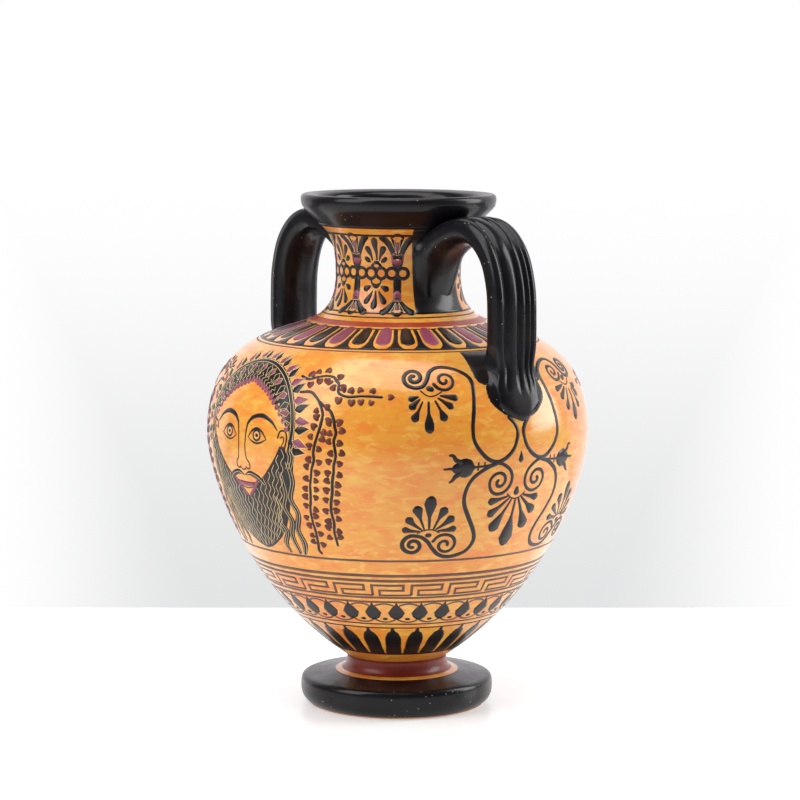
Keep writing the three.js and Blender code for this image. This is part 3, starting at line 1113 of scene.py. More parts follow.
def layNeck(turn):
    black, mauve, cream = newMotif(), newMotif(), newMotif()
    for centre in neckShape["palmettes"]:
        at = neckPoint(centre)
        petal(black, at, [(0.5, 240.9, 0.3), (0.4, 244, 0.5), (0, 247, 0.95), (-0.1, 249.3, 1.2),
                          (0, 250.6, 1.05)])
        petal(black, at, [(0.2, 238.4, 1.9), (0.2, 239.2, 1.5), (0.2, 239.7, 1.0)])
        for side in (1, -1):
            for spots in (
                [(-1.7, 240.7, 0.28), (-2.1, 242.5, 0.5), (-3.0, 244.6, 1.0), (-3.7, 246.2, 1.05)],
                [(-2.7, 240.0, 0.28), (-3.7, 240.6, 0.75), (-4.6, 241.4, 0.8)],
                [(-1.6, 226.5, 0.3), (-2.2, 225, 0.5), (-3.4, 223, 1.0), (-4.2, 221.6, 1.05)],
                [(-2.4, 228.8, 0.3), (-3.6, 228.3, 0.8), (-4.9, 227.6, 1.0)],
            ):
                petal(black, at, onSide(side, spots))
        petal(black, at, [(0, 226.4, 0.35), (0, 223.5, 0.6), (-0.2, 220.6, 1.1), (-0.2, 219.3, 1.1)])
        petal(black, at, [(0, 231.3, 2.0), (0, 230.4, 1.9), (0, 229.6, 1.3)])
        brush(cream, at([(-2.5, 238.8), (-1.6, 240.1), (0.2, 240.8), (2.0, 240.1), (2.9, 238.8)]), 0.2)
        brush(cream, at([(-2.8, 231.2), (-2.5, 229), (0, 227.4), (2.5, 229), (2.8, 231.2)]), 0.2)
    for centre in neckShape["lotuses"]:
        at = neckPoint(centre)
        petal(black, at, [(0, 237.6, 1.3), (0, 239, 1.7), (0, 240.5, 2.0)])
        petal(mauve, at, [(0, 241.1, 1.9), (0, 242.6, 2.0)])
        petal(black, at, [(0, 243.8, 0.5), (0, 246.5, 1.2), (0, 249, 1.5), (0, 251.6, 2.2)])
        petal(black, at, [(0, 231.4, 1.35), (0, 228, 1.3), (0, 226.2, 1.35)])
        petal(mauve, at, [(0, 225.2, 1.35), (0, 223.6, 1.4)])
        petal(black, at, [(0, 222.4, 1.1), (0, 220, 1.3), (0, 216.8, 2.0)])
        petal(mauve, at, [(0, 220.6, 0.3), (0, 219.2, 0.55), (0, 218.2, 0.45)])
        petal(mauve, at, [(0, 245.6, 0.25), (0, 247.5, 0.55), (0, 249, 0.5)])
        for side in (1, -1):
            for spots in (
                [(-1.3, 242.6, 0.8), (-2.4, 245.5, 0.9), (-4.2, 249.2, 1.1), (-6.3, 252.0, 1.3)],
                [(-0.9, 222.4, 0.7), (-2.2, 220.4, 0.95), (-4.1, 218, 1.1), (-5.9, 216.3, 1.3)],
            ):
                petal(black, at, onSide(side, spots))
            brush(cream, at(onSide(side, [(-0.5, 243.8), (-1.5, 247.0), (-3.1, 251.4)])), 0.19)
            brush(cream, at(onSide(side, [(-0.5, 243.8), (-0.9, 247.5), (-1.3, 251.6)])), 0.17)
            tip = [(-0.7, 221.4), (-2.9, 217.0), (-1.3, 217.2), (-0.7, 221.2)]
            brush(cream, at(onSide(side, tip)), 0.19, curved=False)
        brush(cream, at([(-2.3, 222.2), (2.3, 222.2)]), 0.2)
        brush(cream, at([(-1.9, 243.6), (0, 243.2), (1.9, 243.6)]), 0.17)
    # the chain of rings that carries them
    step = neckShape["pitch"] / 4
    for number in range(4 * len(neckShape["palmettes"])):
        centre = neckShape["palmettes"][0] - step / 2 + number * step
        brush(black, spiral((centre, 234.8), 2.45, 2.45, -90, 352), 0.85, step=0.6)
    lay("blackPaint", black, start=turn, wobble=0.5, seed=11.0)
    lay("mauvePaint", mauve, start=turn, wobble=0.4, seed=11.0)
    lay("creamPaint", cream, start=turn, wobble=0.5, seed=12.0)


def layPanels():
    # black field on the neck and under the lip behind each handle
    panel, patch = newMotif(), newMotif()
    edge = np.array(neckShape["panelEdge"])
    rows = []
    for s in np.arange(*neckShape["panelRows"]):
        reach = np.interp(s, edge[:, 1], edge[:, 0])
        rows.append((s, -reach, reach))
    filledRows(panel, rows, 0.4, 24)
    lay("blackPaint", panel, 2, 180, 0, 0.6, 13.0)
    # and on the shoulder round the foot of each strap
    filledRows(patch, [(s, -reach, reach) for reach, s in neckShape["patchEdge"]], 0.3, 20)
    lay("blackPaint", patch, 2, 180, 0, 0.8, 14.0)


layNeck(0)
layNeck(180)
layPanels()
print("neck laid")


# scrolls, palmettes and buds under the handles

scrollShape = {
    "middle": -1.2,
    "line": 1.02,
    "upperStem": [(-5, 143.5), (-3, 140), (-2.3, 136), (-3.5, 130), (-6, 126), (-9, 124), (-12, 125),
                  (-15, 129), (-17, 134), (-17.3, 140), (-16.5, 148), (-15.8, 155), (-15.5, 161),
                  (-17, 165), (-21, 168.5), (-25.5, 169.6), (-28.8, 167), (-30.2, 162.5),
                  (-31.6, 159.6), (-33.6, 158.6)],
    "lowerStem": [(-10, 123), (-13, 121.5), (-17, 117), (-19, 111), (-19, 105), (-17, 98), (-14.5, 91),
                  (-13.7, 86), (-15, 81.5), (-18, 78.8), (-22, 77.8), (-25.5, 79.2), (-28, 83),
                  (-29.5, 86.2), (-31.8, 88.8), (-34, 89.4)],
    "hanging": [[(-30.3, 152, 0.45), (-30.4, 147, 0.55), (-30.3, 142, 1.8), (-30.3, 139.8, 1.7)],
                [(-32.2, 152, 0.4), (-33.4, 148, 0.5), (-34.5, 144.6, 1.6)],
                [(-33, 153.2, 0.4), (-34.2, 151.5, 0.8), (-35.2, 149.8, 1.4)],
                [(-33.4, 154.4, 0.4), (-35.4, 153.4, 1.2)],
                [(-28.2, 152.4, 0.4), (-26.8, 148, 0.5), (-25.9, 144.8, 1.6)],
                [(-27.2, 153.6, 0.4), (-25.2, 151.4, 0.8), (-23.7, 149.8, 1.4)],
                [(-26.4, 154.8, 0.4), (-23.6, 154.0, 0.9), (-22, 153.6, 1.2)]],
    "standing": [[(-29.5, 93.5, 0.45), (-29.6, 99, 0.6), (-29.5, 105, 2.1), (-29.4, 107, 1.8)],
                 [(-31, 93, 0.4), (-32.3, 98, 0.6), (-33.3, 102.6, 1.8)],
                 [(-31.8, 92.6, 0.4), (-34.3, 95.4, 0.8), (-35.7, 97.6, 1.6)],
                 [(-32.6, 91.8, 0.4), (-35, 92, 0.8), (-36.9, 92.6, 1.4)],
                 [(-28, 93, 0.4), (-26.6, 98, 0.6), (-25.2, 101.8, 1.8)],
                 [(-27.2, 92.6, 0.4), (-24.4, 95.4, 0.8), (-22.7, 97.6, 1.6)],
                 [(-26.4, 91.8, 0.4), (-23.6, 92, 0.8), (-21.6, 92.6, 1.4)]],
    "bud": [[(-16.8, 122.2, 0.8), (-17.9, 122.2, 3.2), (-19.4, 122.1, 4.3), (-21, 122.1, 3.9),
             (-22.2, 122, 2.4)],
            [(-21.2, 124.8, 1.1), (-22.6, 125.9, 1.1), (-23.4, 127.8, 0.8), (-24.4, 128, 0.6)],
            [(-21.2, 119.4, 1.1), (-22.6, 118.2, 1.1), (-23.4, 116.4, 0.8), (-24.2, 115.6, 0.6)],
            [(-21.6, 122, 0.9), (-24, 122, 0.7), (-26, 121.8, 0.55)]],
    "middlePetals": [[(-1, 105, 0.5), (-1, 97, 0.7), (-1, 89, 2.4), (-1, 85.6, 3.0), (-1, 83.9, 2.2)],
                     [(-2.6, 105.2, 0.45), (-4.8, 99, 0.7), (-7.2, 92.4, 2.2)],
                     [(-3.6, 106, 0.45), (-6.8, 102, 0.8), (-9.3, 99.2, 1.9)],
                     [(-4.4, 107, 0.45), (-7.6, 105.8, 0.8), (-9.8, 105.2, 1.6)]],
}


def drawPetals(motif, petals, about=None):
    for spots in petals:
        line = [(a, s) for a, s, _ in spots]
        brush(motif, line if about is None else mirrored(line, about), [h * 1.3 for _, _, h in spots])


def layScrolls():
    shape = scrollShape
    middle = shape["middle"]
    black = newMotif()
    for about in (None, middle):
        def placed(line):
            return line if about is None else mirrored(line, about)

        def draw(line, half=shape["line"]):
            brush(black, placed(line), half, step=1.0)

        # upper scroll: outer volute wound on at its end, inner volute beside it; then the lower scroll
        draw(shape["upperStem"] + spiral((-34.4, 163.9), 5.2, 0.9, -75, -560)[1:])
        draw(spiral((-24.6, 162.2), 5.2, 0.9, 200, 520), 0.85)
        draw(shape["lowerStem"] + spiral((-34.4, 84.3), 5.4, 1.0, 75, 560)[1:])
        draw(spiral((-23.6, 84.3), 6.0, 1.1, 160, -520), 0.85)
        drawPetals(black, shape["hanging"], about)
        drawPetals(black, shape["standing"], about)
        draw([(-32.5, 157.2), (-31, 155.3), (-29.3, 154.6), (-27.6, 155.3), (-26, 156.6)], 0.4)
        draw([(-33, 90.8), (-31.2, 92.2), (-29.5, 92.6), (-27.8, 92.2), (-26, 90.8)], 0.4)
        draw([(-29.9, 158.4), (-29, 158.0)], 1.3)
        draw([(-29.8, 89.6), (-29.2, 89.6)], 1.2)
        # big volutes over the hanging palmette in the middle
        draw([(-9.5, 123.4), (-7.6, 122.8)] + spiral((-8.2, 114.6), 7.6, 0.9, 75, -650)[1:], 0.85)
        drawPetals(black, shape["middlePetals"][1:], about)
        # lotus bud on a short stem
        draw([(-9.6, 123.0), (-13, 122.6), (-17.4, 122.2)], 0.6)
        for a in (-13.6, -15.6):
            draw([(a, 124.1), (a - 0.1, 120.9)], 0.5)
        for spots in shape["bud"]:
            line = placed([(a, s) for a, s, _ in spots])
            brush(black, line, [h for _, _, h in spots], across=3, step=0.7)
    drawPetals(black, shape["middlePetals"][:1])
    collar = [(-3.3, 108.2), (-1.8, 106.3), (0, 105.6), (1.8, 106.3), (3.3, 108.2)]
    brush(black, [(middle + a, s) for a, s in collar], 0.45)
    brush(black, [(middle, 110.6), (middle, 108.8)], [1.0, 1.7])
    brush(black, [(middle, 128), (middle, 126), (middle, 124.2)], [0.25, 0.9, 1.5])
    lay("blackPaint", black, 2, 180, 0, 0.7, 21.0)


layScrolls()
print("scrolls laid")


# ivy

bellyRadius = 88.5  # where the ivy, the mask and the back palmette lie

ivyShape = {
    "leftStem": [(-70.5, 155), (-67, 155.4), (-65, 153.5), (-63.5, 151), (-62.3, 147.5), (-61.8, 145),
                 (-62.2, 141), (-63, 136), (-63.8, 131.5), (-64.2, 128), (-64, 125), (-64.8, 121),
                 (-65.2, 118), (-65.8, 113), (-66, 109), (-66.4, 105), (-67, 101), (-67, 95),
                 (-66.6, 90), (-66.7, 83), (-67, 80), (-66.3, 78.4)],
    "rightStem": [(-63.2, 151), (-61.5, 149), (-59.5, 147), (-58.3, 143.5), (-57.8, 140),
                  (-57.3, 137.5), (-57.9, 134), (-57.5, 130), (-57.3, 127), (-57.9, 123), (-58, 120),
                  (-58.7, 115), (-59, 110), (-59.7, 105), (-60, 100), (-59.6, 95), (-60, 90),
                  (-59.6, 83.4)],
    "topBranch": [(-72, 163), (-69, 161.6), (-66, 163), (-63, 163.8), (-60.5, 163.3), (-59.4, 161.5),
                  (-58.3, 160), (-58, 156.6), (-57.4, 155.2), (-54.5, 154), (-50, 154.5),
                  (-44.3, 154.2)],
    "about": -91.5,  # its mirror line, when it stands beside the mask
    "firstLeaf": [("leftStem", 16), ("rightStem", 12), ("topBranch", 6)],  # mm along each stem
    "leafGap": 4.7,
    "leafReach": 2.9,  # beside it
    "endLeaf": (-41.4, 154.1),
}

heartLeaf = [(1.7, 0.0), (1.15, 0.85), (0.2, 1.45), (-0.8, 1.6), (-1.45, 1.2), (-1.5, 0.6), (-1.2, 0.0),
             (-1.5, -0.6), (-1.45, -1.2), (-0.8, -1.6), (0.2, -1.45), (1.15, -0.85)]


def layIvy(about):
    leafRandom = np.random.RandomState(int(abs(about)) + 3)
    scale = math.radians(1) * bellyRadius
    for mirror in (False, True):
        stems, leaves = newMotif(), newMotif()
        shift = about - ivyShape["about"]

        def placed(line):
            line = mirrored(line, ivyShape["about"]) if mirror else line
            return [(a + shift, s) for a, s in line]

        for name, start in ivyShape["firstLeaf"]:
            brush(stems, placed(ivyShape[name]), 0.72, step=1.1, uneven=0.14)
            # leaves in pairs, swung a little at random
            line = through([(a * scale, s) for a, s in ivyShape[name]], 1.0)
            run = runLength(line)

            def pointAt(length):
                return np.array([np.interp(length, run, line[:, k]) for k in (0, 1)])

            for at in np.arange(start, run[-1] - 1, ivyShape["leafGap"]):
                x, y = pointAt(at)
                dx, dy = pointAt(at + 1.5) - pointAt(at - 1.5)
                along = math.atan2(dy, dx)
                for side in (90, -90):
                    away = along + math.radians(side)
                    reach = ivyShape["leafReach"] * leafRandom.uniform(0.85, 1.1)
                    slip = leafRandom.uniform(-0.9, 0.9)
                    spot = ((x + reach * math.cos(away) + slip * math.cos(along)) / scale,
                            y + reach * math.sin(away) + slip * math.sin(along))
                    swung = (math.pi - away if mirror else away) + math.radians(leafRandom.uniform(-28, 28))
                    blob(leaves, heartLeaf, placed([spot])[0], swung, leafRandom.uniform(0.95, 1.25))
        blob(leaves, heartLeaf, placed([ivyShape["endLeaf"]])[0], math.pi if mirror else 0.0)
        lay("blackPaint", stems, wobble=0.5, seed=31.0)
        lay("ivyPaint", leaves, wobble=0.9, seed=32.0)


layIvy(ivyShape["about"])
layIvy(90.0)
print("ivy laid")


# the bearded mask between the ivy
# A plain face of even thirds: eyes half-way down the head, five eye-widths across.

maskShape = {
    "middle": -91.5,
    "crown": 169.5,
    "headHalf": 31.0,  # half the width over the hair
    "beardSide": [(130, 27.5), (124, 28.6), (116, 29), (107, 28), (98, 25.5), (91, 21.5), (85, 16),
                  (80.5, 9.5), (78, 4), (77.3, 0.6)],
    "cheekLine": [(130, 24.5), (126, 22.6), (121, 19), (116, 14.5), (111, 8.5), (107, 4), (104.5, 0.2)],
    "beardRows": (77.4, 129.8, 40),
    "lip": 104.5,  # the two halves of the beard meet below this
    "eye": (10.5, 133.5),
    "iris": 2.3,
    # angle up from the right temple, and radius of the hairline there
    "hairline": [(-3, 28.4), (12, 24.6), (28, 21.6), (45, 20.0), (62, 19.2), (76, 19.2), (90, 20.4),
                 (104, 19.2), (118, 19.2), (135, 20.0), (152, 21.6), (168, 24.6), (183, 28.4)],
    "sway": [0, 2.8, -1.4, 1.4],  # of a wavy hair
    "locks": [[(19, 106), (20.5, 100), (18, 94), (20.5, 88), (17.5, 82), (18.5, 77.5)],
              [(24, 118), (25.5, 108), (23, 101), (25.8, 94), (23.4, 87), (25, 77.6)],
              [(28.4, 123), (30.2, 114), (27.6, 106), (30.4, 98), (28, 90), (29.8, 83), (28.4, 77.5)]],
    "fallingHair": [(30.2, 138), (30.9, 133), (30.4, 127), (28.6, 120)],
    "fallingLine": [(30.4, 131), (29.8, 128), (30.6, 125), (28.8, 120)],
}
headMiddle = maskShape["crown"] - maskShape["headHalf"]  # of the head's round top


def maskPoints(points):
    scale = math.degrees(1 / bellyRadius)
    return [(maskShape["middle"] + u * scale, s) for u, s in points]


def aroundHead(degrees, radius):
    w = math.radians(degrees)
    return radius * math.cos(w), headMiddle + radius * math.sin(w)


def fillBetween(motif, rows, across):
    # a filled area given by its left and right limits in mm at each way up
    laid = []
    for s, left, right in rows:
        edge = min(0.2, (right - left) * 0.2)
        spots = [left, *np.linspace(left + edge, right - edge, across), right]
        turns = [math.radians(a) for a, _ in maskPoints([(u, s) for u in spots])]
        laid.append([(a, s, 0.0 if a in (turns[0], turns[-1]) else 1.0) for a in turns])
    addRows(motif, laid)


def layHair(black, mauve, cream):
    # the cap of hair, thin at the temples and parted in the middle
    stops, inner = zip(*maskShape["hairline"])
    outer = maskShape["headHalf"] - 1.2
    line = [aroundHead(a, (outer + r) / 2) for a, r in zip(stops, inner)]
    brush(black, maskPoints(line), [(outer - r) / 2 for r in inner], across=10, step=1.4, roundEnds=False)
    # curls along the hairline
    for degrees in range(-2, 183, 8):
        u, s = aroundHead(degrees, float(np.interp(degrees, stops, inner)) - 0.2)
        brush(mauve, maskPoints([(u * 0.99, s), (u, s + 0.8)]), 1.25, step=0.6)
    # wavy hairs across the cap
    for degrees in range(3, 179, 7):
        low = float(np.interp(degrees, stops, inner)) + 1.4
        radii = np.linspace(low, outer - 5.4, len(maskShape["sway"]))
        hair = [aroundHead(degrees + w, r) for w, r in zip(maskShape["sway"], radii)]
        brush(cream, maskPoints(hair), 0.22, step=0.7)


def layWreath(black, mauve, cream):
    reach = maskShape["headHalf"]

    def arc(radius):
        return maskPoints([aroundHead(a, radius) for a in range(-10, 191, 6)])

    brush(black, arc(reach), 1.5, across=3, step=1.4)
    for radius in (reach - 0.9, reach + 0.9):
        brush(cream, arc(radius), 0.24, step=1.2)
    leaf = [(0, 0), (2.2, -1.8), (3.4, -1.7), (7.0, 0), (3.4, 1.7), (2.2, 1.8)]
    rim = [(0.2, 0), (2.4, -2.0), (7.4, 0), (2.4, 2.0), (0.2, 0)]
    # leaves that point out, then smaller ones that point in, of which only the mauve are filled
    spots = [(a, reach + 0.6, 1.0 + 0.22 * abs(math.cos(math.radians(a)))) for a in range(-18, 199, 8)]
    spots += [(a, reach - 1.4, 0.85) for a in range(4, 177, 9)]
    for number, (degrees, radius, size) in enumerate(spots):
        lean = math.radians(degrees) + math.radians(-10 if number % 2 else 10)
        if radius < reach:
            lean += math.pi
        base = aroundHead(degrees, radius)
        if radius > reach or number % 2:
            blob(mauve if number % 2 else black, leaf, maskPoints([base])[0], lean, size)
        c, d = math.cos(lean), math.sin(lean)
        line = [(base[0] + size * (x * c - y * d), base[1] + size * (x * d + y * c)) for x, y in rim]
        brush(cream, maskPoints(line), 0.19, curved=False, roundEnds=False)


def layBeard(black, mauve, cream):
    side = np.array(maskShape["beardSide"])[::-1]
    cheek = np.array(maskShape["cheekLine"])[::-1]

    def sideAt(s):
        return float(np.interp(s, side[:, 0], side[:, 1]))

    def cheekAt(s):
        return float(np.interp(s, cheek[:, 0], cheek[:, 1]))

    for turn in (1, -1):
        rows = []
        for s in np.linspace(*maskShape["beardRows"]):
            inner = cheekAt(s) if s > maskShape["lip"] else -0.3
            rows.append((s, *sorted((turn * inner, turn * sideAt(s)))))
        fillBetween(black, rows, 14)
        # hairs of the beard, from the cheek or the lip down to its end
        for start in np.linspace(1.3, 26.4, 9):
            first = float(np.interp(start, cheek[:, 1], cheek[:, 0])) - 1.6
            end = start * 0.64
            last = float(np.interp(end, side[:, 1], side[:, 0])) + 1.6
            hair = []
            for share in np.linspace(0, 1, int((first - last) / 1.5) + 3):
                s = first + (last - first) * share
                wave = 0.75 * math.sin(s + start * 0.3)
                hair.append((turn * (start + (end - start) * share ** 1.4 + wave), s))
            brush(cream, maskPoints(hair), 0.22, step=0.8)
        # loose locks beside the beard
        for lock in maskShape["locks"]:
            spots = onSide(turn, lock)
            brush(black, maskPoints(spots), [1.7, *[1.55] * (len(lock) - 2), 1.0], across=3)
            for offset in (-0.75, 0.75):
                brush(cream, maskPoints([(u + offset, s) for u, s in spots]), 0.19, step=0.8)
        # the hair that falls behind the ear
        brush(black, maskPoints(onSide(turn, maskShape["fallingHair"])), [1.0, 1.5, 2.4, 2.8], across=4)
        for offset in (-1.2, 0.2, 1.5):
            line = [(turn * (u + offset), s) for u, s in maskShape["fallingLine"]]
            brush(cream, maskPoints(line), 0.2, step=0.8)
        brush(mauve, maskPoints(onSide(turn, [(1.0, 104.6), (4.2, 107.4), (8.4, 111.8)])), 0.8, step=0.8)


def layFace(black, mauve, cream):
    eyeU, eyeS = maskShape["eye"]
    iris = maskShape["iris"]
    for turn in (1, -1):
        def put(motif, points, half, **more):
            brush(motif, maskPoints(onSide(turn, points)), half, step=0.7, **more)

        # brow, then the eye with its rings
        put(black, [(3.6, 138.4), (7, 141.4), (13, 142.6), (19, 140.4), (22.8, 136.8)],
            [0.7, 1.0, 1.1, 0.8, 0.35])
        put(black, [(4.6, 132.3), (7.3, 135.4), (10.4, 136.5), (13.7, 135.4), (16.6, 132.2)],
            [0.3, 0.6, 0.7, 0.6, 0.3])
        put(black, [(4.6, 132.3), (7.4, 130.6), (10.4, 129.9), (13.6, 130.6), (16.6, 132.2)],
            [0.3, 0.45, 0.5, 0.45, 0.3])
        for motif, radius, half in ((black, iris, 0.5), (cream, iris * 0.6, 0.24)):
            turns = [math.radians(a) for a in range(0, 361, 30)]
            ring = [(eyeU + radius * math.cos(a), eyeS + radius * math.sin(a)) for a in turns]
            put(motif, ring, half, roundEnds=False)
        put(black, [(eyeU - 0.3, eyeS), (eyeU + 0.3, eyeS)], 0.8)
        # nose and nostril
        put(black, [(3.6, 138.2), (2.7, 133.5), (2.5, 126), (3.2, 122)], [0.6, 0.45, 0.4, 0.4])
        put(black, [(3.2, 122), (4.8, 120.4), (4.9, 118.2), (3.2, 117.4), (2.0, 118.2)], 0.42)
        # moustache, lips and ear
        put(black, [(0.7, 114.4), (4.5, 115.4), (9.5, 113.8), (13.6, 110.6), (16.4, 108.2)],
            [0.5, 1.4, 1.6, 1.1, 0.4], across=3)
        put(cream, [(1.6, 114.6), (5, 115.4), (9.5, 113.9), (13.2, 110.9)], 0.2)
        put(black, [(23.4, 133.6), (24.6, 136.4), (27.4, 136.6), (28.4, 133.4), (27.4, 129), (26.4, 125.2),
                    (24.6, 124.2)], 0.5)
        put(black, [(25.0, 133.6), (26.4, 134.2), (26.9, 132.4), (25.8, 130.2), (25.6, 127.8)], 0.38)
    # under the nose, the mouth, and the lines over and under it
    for motif, points, half, step in (
        (black, [(-1.7, 117.4), (0, 116.7), (1.7, 117.4)], 0.4, 0.6),
        (mauve, [(-4.6, 110.2), (0, 109.9), (4.6, 110.2)], 1.1, 0.7),
        (black, [(-7.4, 111.2), (-3, 110.5), (0, 110.8), (3, 110.5), (7.4, 111.2)], 0.36, 0.7),
        (black, [(-4.4, 108.7), (0, 107.9), (4.4, 108.7)], 0.32, 0.7),
    ):
        brush(motif, maskPoints(points), half, step=step)


def layMask():
    motifs = newMotif(), newMotif(), newMotif()
    for part in (layHair, layWreath, layBeard, layFace):
        part(*motifs)
    for paint, motif in zip(("blackPaint", "mauvePaint", "creamPaint"), motifs):
        lay(paint, motif, wobble=0.5, seed=41.0)


layMask()
print("mask laid")


# a plain palmette on the other side

backShape = {
    "middle": 90.0,
    "heart": 112.0,
    "petals": [(0, 33, 3.0), (17, 31, 2.7), (34, 28, 2.5), (52, 24, 2.2), (71, 20, 1.9), (92, 16, 1.6)],
}


def layBackPalmette():
    black = newMotif()
    scale = math.degrees(1 / bellyRadius)
    middle, heart = backShape["middle"], backShape["heart"]
    for turn in (1, -1):
        def placed(points):
            return [(middle + turn * scale * u, s) for u, s in points]

        for degrees, reach, half in backShape["petals"]:
            if degrees == 0 and turn < 0:
                continue
            w = math.radians(degrees)
            line = [(r * math.sin(w), heart + r * math.cos(w)) for r in (6, reach * 0.6, reach)]
            brush(black, placed(line), [0.7, 1.0, half], step=1.0)
        brush(black, placed([(0.5, 104.5), (4, 106), (6.5, 110)]), 0.8)
        volute = spiral(placed([(12.5, 99)])[0], 8.2, 1.2, 150 if turn > 0 else 30, -560 * turn)
        brush(black, volute, 0.8, step=1.0)
        brush(black, placed([(0, 92), (-0.2, 88), (1.6, 82), (3.2, 79.5)]), [0.6, 0.8, 1.4, 1.6])
    brush(black, [(middle, 111.5), (middle, 108.5)], [1.4, 2.2])
    lay("blackPaint", black, wobble=0.7, seed=51.0)


layBackPalmette()
print("back palmette laid")


def joinMeshes(name, meshes):
    work = bmesh.new()
    for mesh in meshes:
        work.from_mesh(mesh)
    joined = bpy.data.meshes.new(name)
    work.to_mesh(joined)
    work.free()
    for material in meshes[0].materials:
        joined.materials.append(material)
    return joined


def gatherPaints():
    for name, meshes in paints.items():
        joined = joinMeshes(name, meshes)
        piece = addPiece(name, joined)
        describe(name, joined)


gatherPaints()
bpy.data.objects.remove(wallGuide)


# floor, light and camera

viewShape = {
    "cameraAt": (1060.2, -872.6, 308.2),
    "turn": 50.5,
    "pitch": 6.85,
    "roll": 0.237,
    "lens": 132.75,
}

floorShape = {
    "turn": 1.23,  # the table is not quite square to the view
    "behind": 230,  # its back edge is this far behind the vase
    "size": 6000,
    "colour": (0.86, 0.86, 0.865, 1.0),
    "roughness": 0.3,
    "shine": 0.35,
    "glow": 0.31,
}

lightShape = {
    "room": 0.12,
    "roomColour": (0.95, 0.97, 1.0, 1.0),
    "low": (0.765, 0.77, 0.775, 1.0),
    "high": (1.0, 1.0, 1.0, 1.0),
    "whiteFrom": (-0.2, -0.04),  # where the backdrop goes from low to high, upwards
    "whiteBeside": (0.06, 0.14),  # and to either side
    "aim": 120,  # height that the lights point at
    # angle from the camera, rise, distance, size and power
    "boxes": {
        "leftWindow": (-60, 34, 1000, (600, 900), 6.4),
        "rightWindow": (98, 24, 1100, (500, 900), 9.4),
        "topSheet": (-20, 78, 950, (800, 800), 7.4),
        "backSheet": (180, 14, 1300, (4200, 1800), 23.0, (0.97, 0.93, 0.97)),
    },
}


def makeFloor():
    # a pale table sheet with a straight back edge behind the vase
    mesh = bpy.data.meshes.new("floor")
    work = bmesh.new()
    turn = math.radians(viewShape["turn"] + floorShape["turn"])
    ahead = Vector((math.sin(turn), -math.cos(turn), 0)) * mm
    aside = Vector((math.cos(turn), math.sin(turn), 0)) * mm
    back, size = -floorShape["behind"], floorShape["size"]
    corners = ((back, -size), (size, -size), (size, size), (back, size))
    work.faces.new([work.verts.new(ahead * a + aside * b) for a, b in corners])
    work.normal_update()
    for face in work.faces:
        if face.normal.z < 0:
            face.normal_flip()
    work.to_mesh(mesh)
    work.free()
    floor = bpy.data.objects.new("floor", mesh)
    scene.collection.objects.link(floor)
    material = bpy.data.materials.new("paleFloor")
    material.use_nodes = True
    shader = material.node_tree.nodes["Principled BSDF"]
    for label, value in (
        ("Base Color", floorShape["colour"]), ("Roughness", floorShape["roughness"]),
        ("Specular IOR Level", floorShape["shine"]), ("Emission Color", (1, 1, 1, 1)),
        ("Emission Strength", floorShape["glow"]),
    ):
        shader.inputs[label].default_value = value
    mesh.materials.append(material)


def fromCamera(angle, elevation, distance):
    # a place round the vase, its angle counted from the camera to the right
    turn = math.radians(viewShape["turn"] - 90 + angle)
    rise = math.radians(elevation)
    level = Vector((math.cos(turn), math.sin(turn), 0)) * math.cos(rise)
    return (level + Vector((0, 0, math.sin(rise)))) * distance * mm


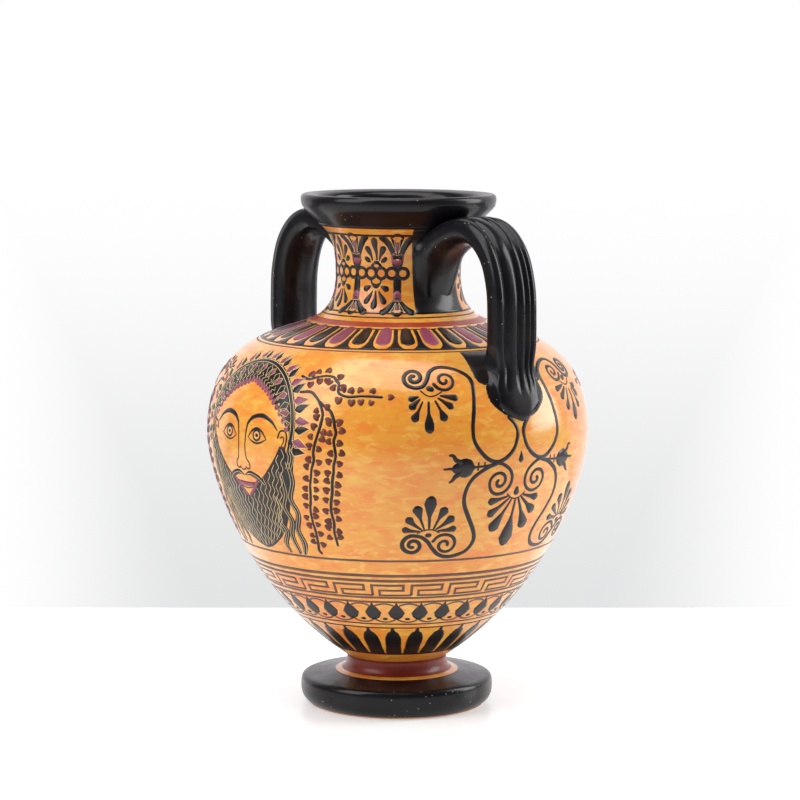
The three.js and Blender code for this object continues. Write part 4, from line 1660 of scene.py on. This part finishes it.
def softbox(name, angle, elevation, distance, size, power, colour=(1, 1, 1)):
    light = bpy.data.lights.new(name, "AREA")
    light.shape = "RECTANGLE"
    light.size, light.size_y = size[0] * mm, size[1] * mm
    light.energy = power * mm * mm * 1e6
    light.color = colour
    lamp = bpy.data.objects.new(name, light)
    lamp.visible_camera = False
    target = Vector((0, 0, lightShape["aim"] * mm))
    lamp.location = target + fromCamera(angle, elevation, distance)
    lamp.rotation_euler = (target - lamp.location).to_track_quat("-Z", "Y").to_euler()
    scene.collection.objects.link(lamp)


def makeLight():
    world = bpy.data.worlds.new("studio")
    world.use_nodes = True
    tree = world.node_tree
    tree.nodes.clear()
    room = addNode(tree, "ShaderNodeBackground", {
        "Color": lightShape["roomColour"], "Strength": lightShape["room"],
    })
    # the backdrop is pale grey at the table, whiter higher up and away to either side
    way = addNode(tree, "ShaderNodeTexCoord").outputs["Generated"]
    turn = math.radians(viewShape["turn"])
    aside = addNode(tree, "ShaderNodeVectorMath", {
        0: way, 1: (math.cos(turn), math.sin(turn), 0),
    }, operation="DOT_PRODUCT").outputs["Value"]
    above = stepUp(tree, splitVector(tree, way)["Z"], *lightShape["whiteFrom"])
    beside = stepUp(tree, calc(tree, "ABSOLUTE", aside), *lightShape["whiteBeside"])
    white = blendColours(tree, calc(tree, "MAXIMUM", above, beside), lightShape["low"], lightShape["high"])
    seen = addNode(tree, "ShaderNodeBackground", {"Color": white, "Strength": 1.0})
    isCamera = addNode(tree, "ShaderNodeLightPath").outputs["Is Camera Ray"]
    mix = addNode(tree, "ShaderNodeMixShader", {0: isCamera, 1: room.outputs[0], 2: seen.outputs[0]})
    out = tree.nodes.new("ShaderNodeOutputWorld")
    tree.links.new(mix.outputs[0], out.inputs[0])
    scene.world = world
    for name, values in lightShape["boxes"].items():
        softbox(name, *values)


def makeCamera():
    camera = bpy.data.cameras.new("camera")
    camera.sensor_width = 36
    camera.lens = viewShape["lens"]
    camera.clip_start, camera.clip_end = 10 * mm, 20000 * mm
    holder = bpy.data.objects.new("camera", camera)
    turn, pitch, roll = (math.radians(viewShape[k]) for k in ("turn", "pitch", "roll"))
    look = (Matrix.Rotation(turn, 4, "Z") @ Matrix.Rotation(math.pi / 2 - pitch, 4, "X")
            @ Matrix.Rotation(roll, 4, "Z"))
    holder.matrix_world = Matrix.Translation(Vector(viewShape["cameraAt"]) * mm) @ look
    scene.collection.objects.link(holder)
    scene.camera = holder


makeFloor()
makeLight()
makeCamera()

print("scene ready")
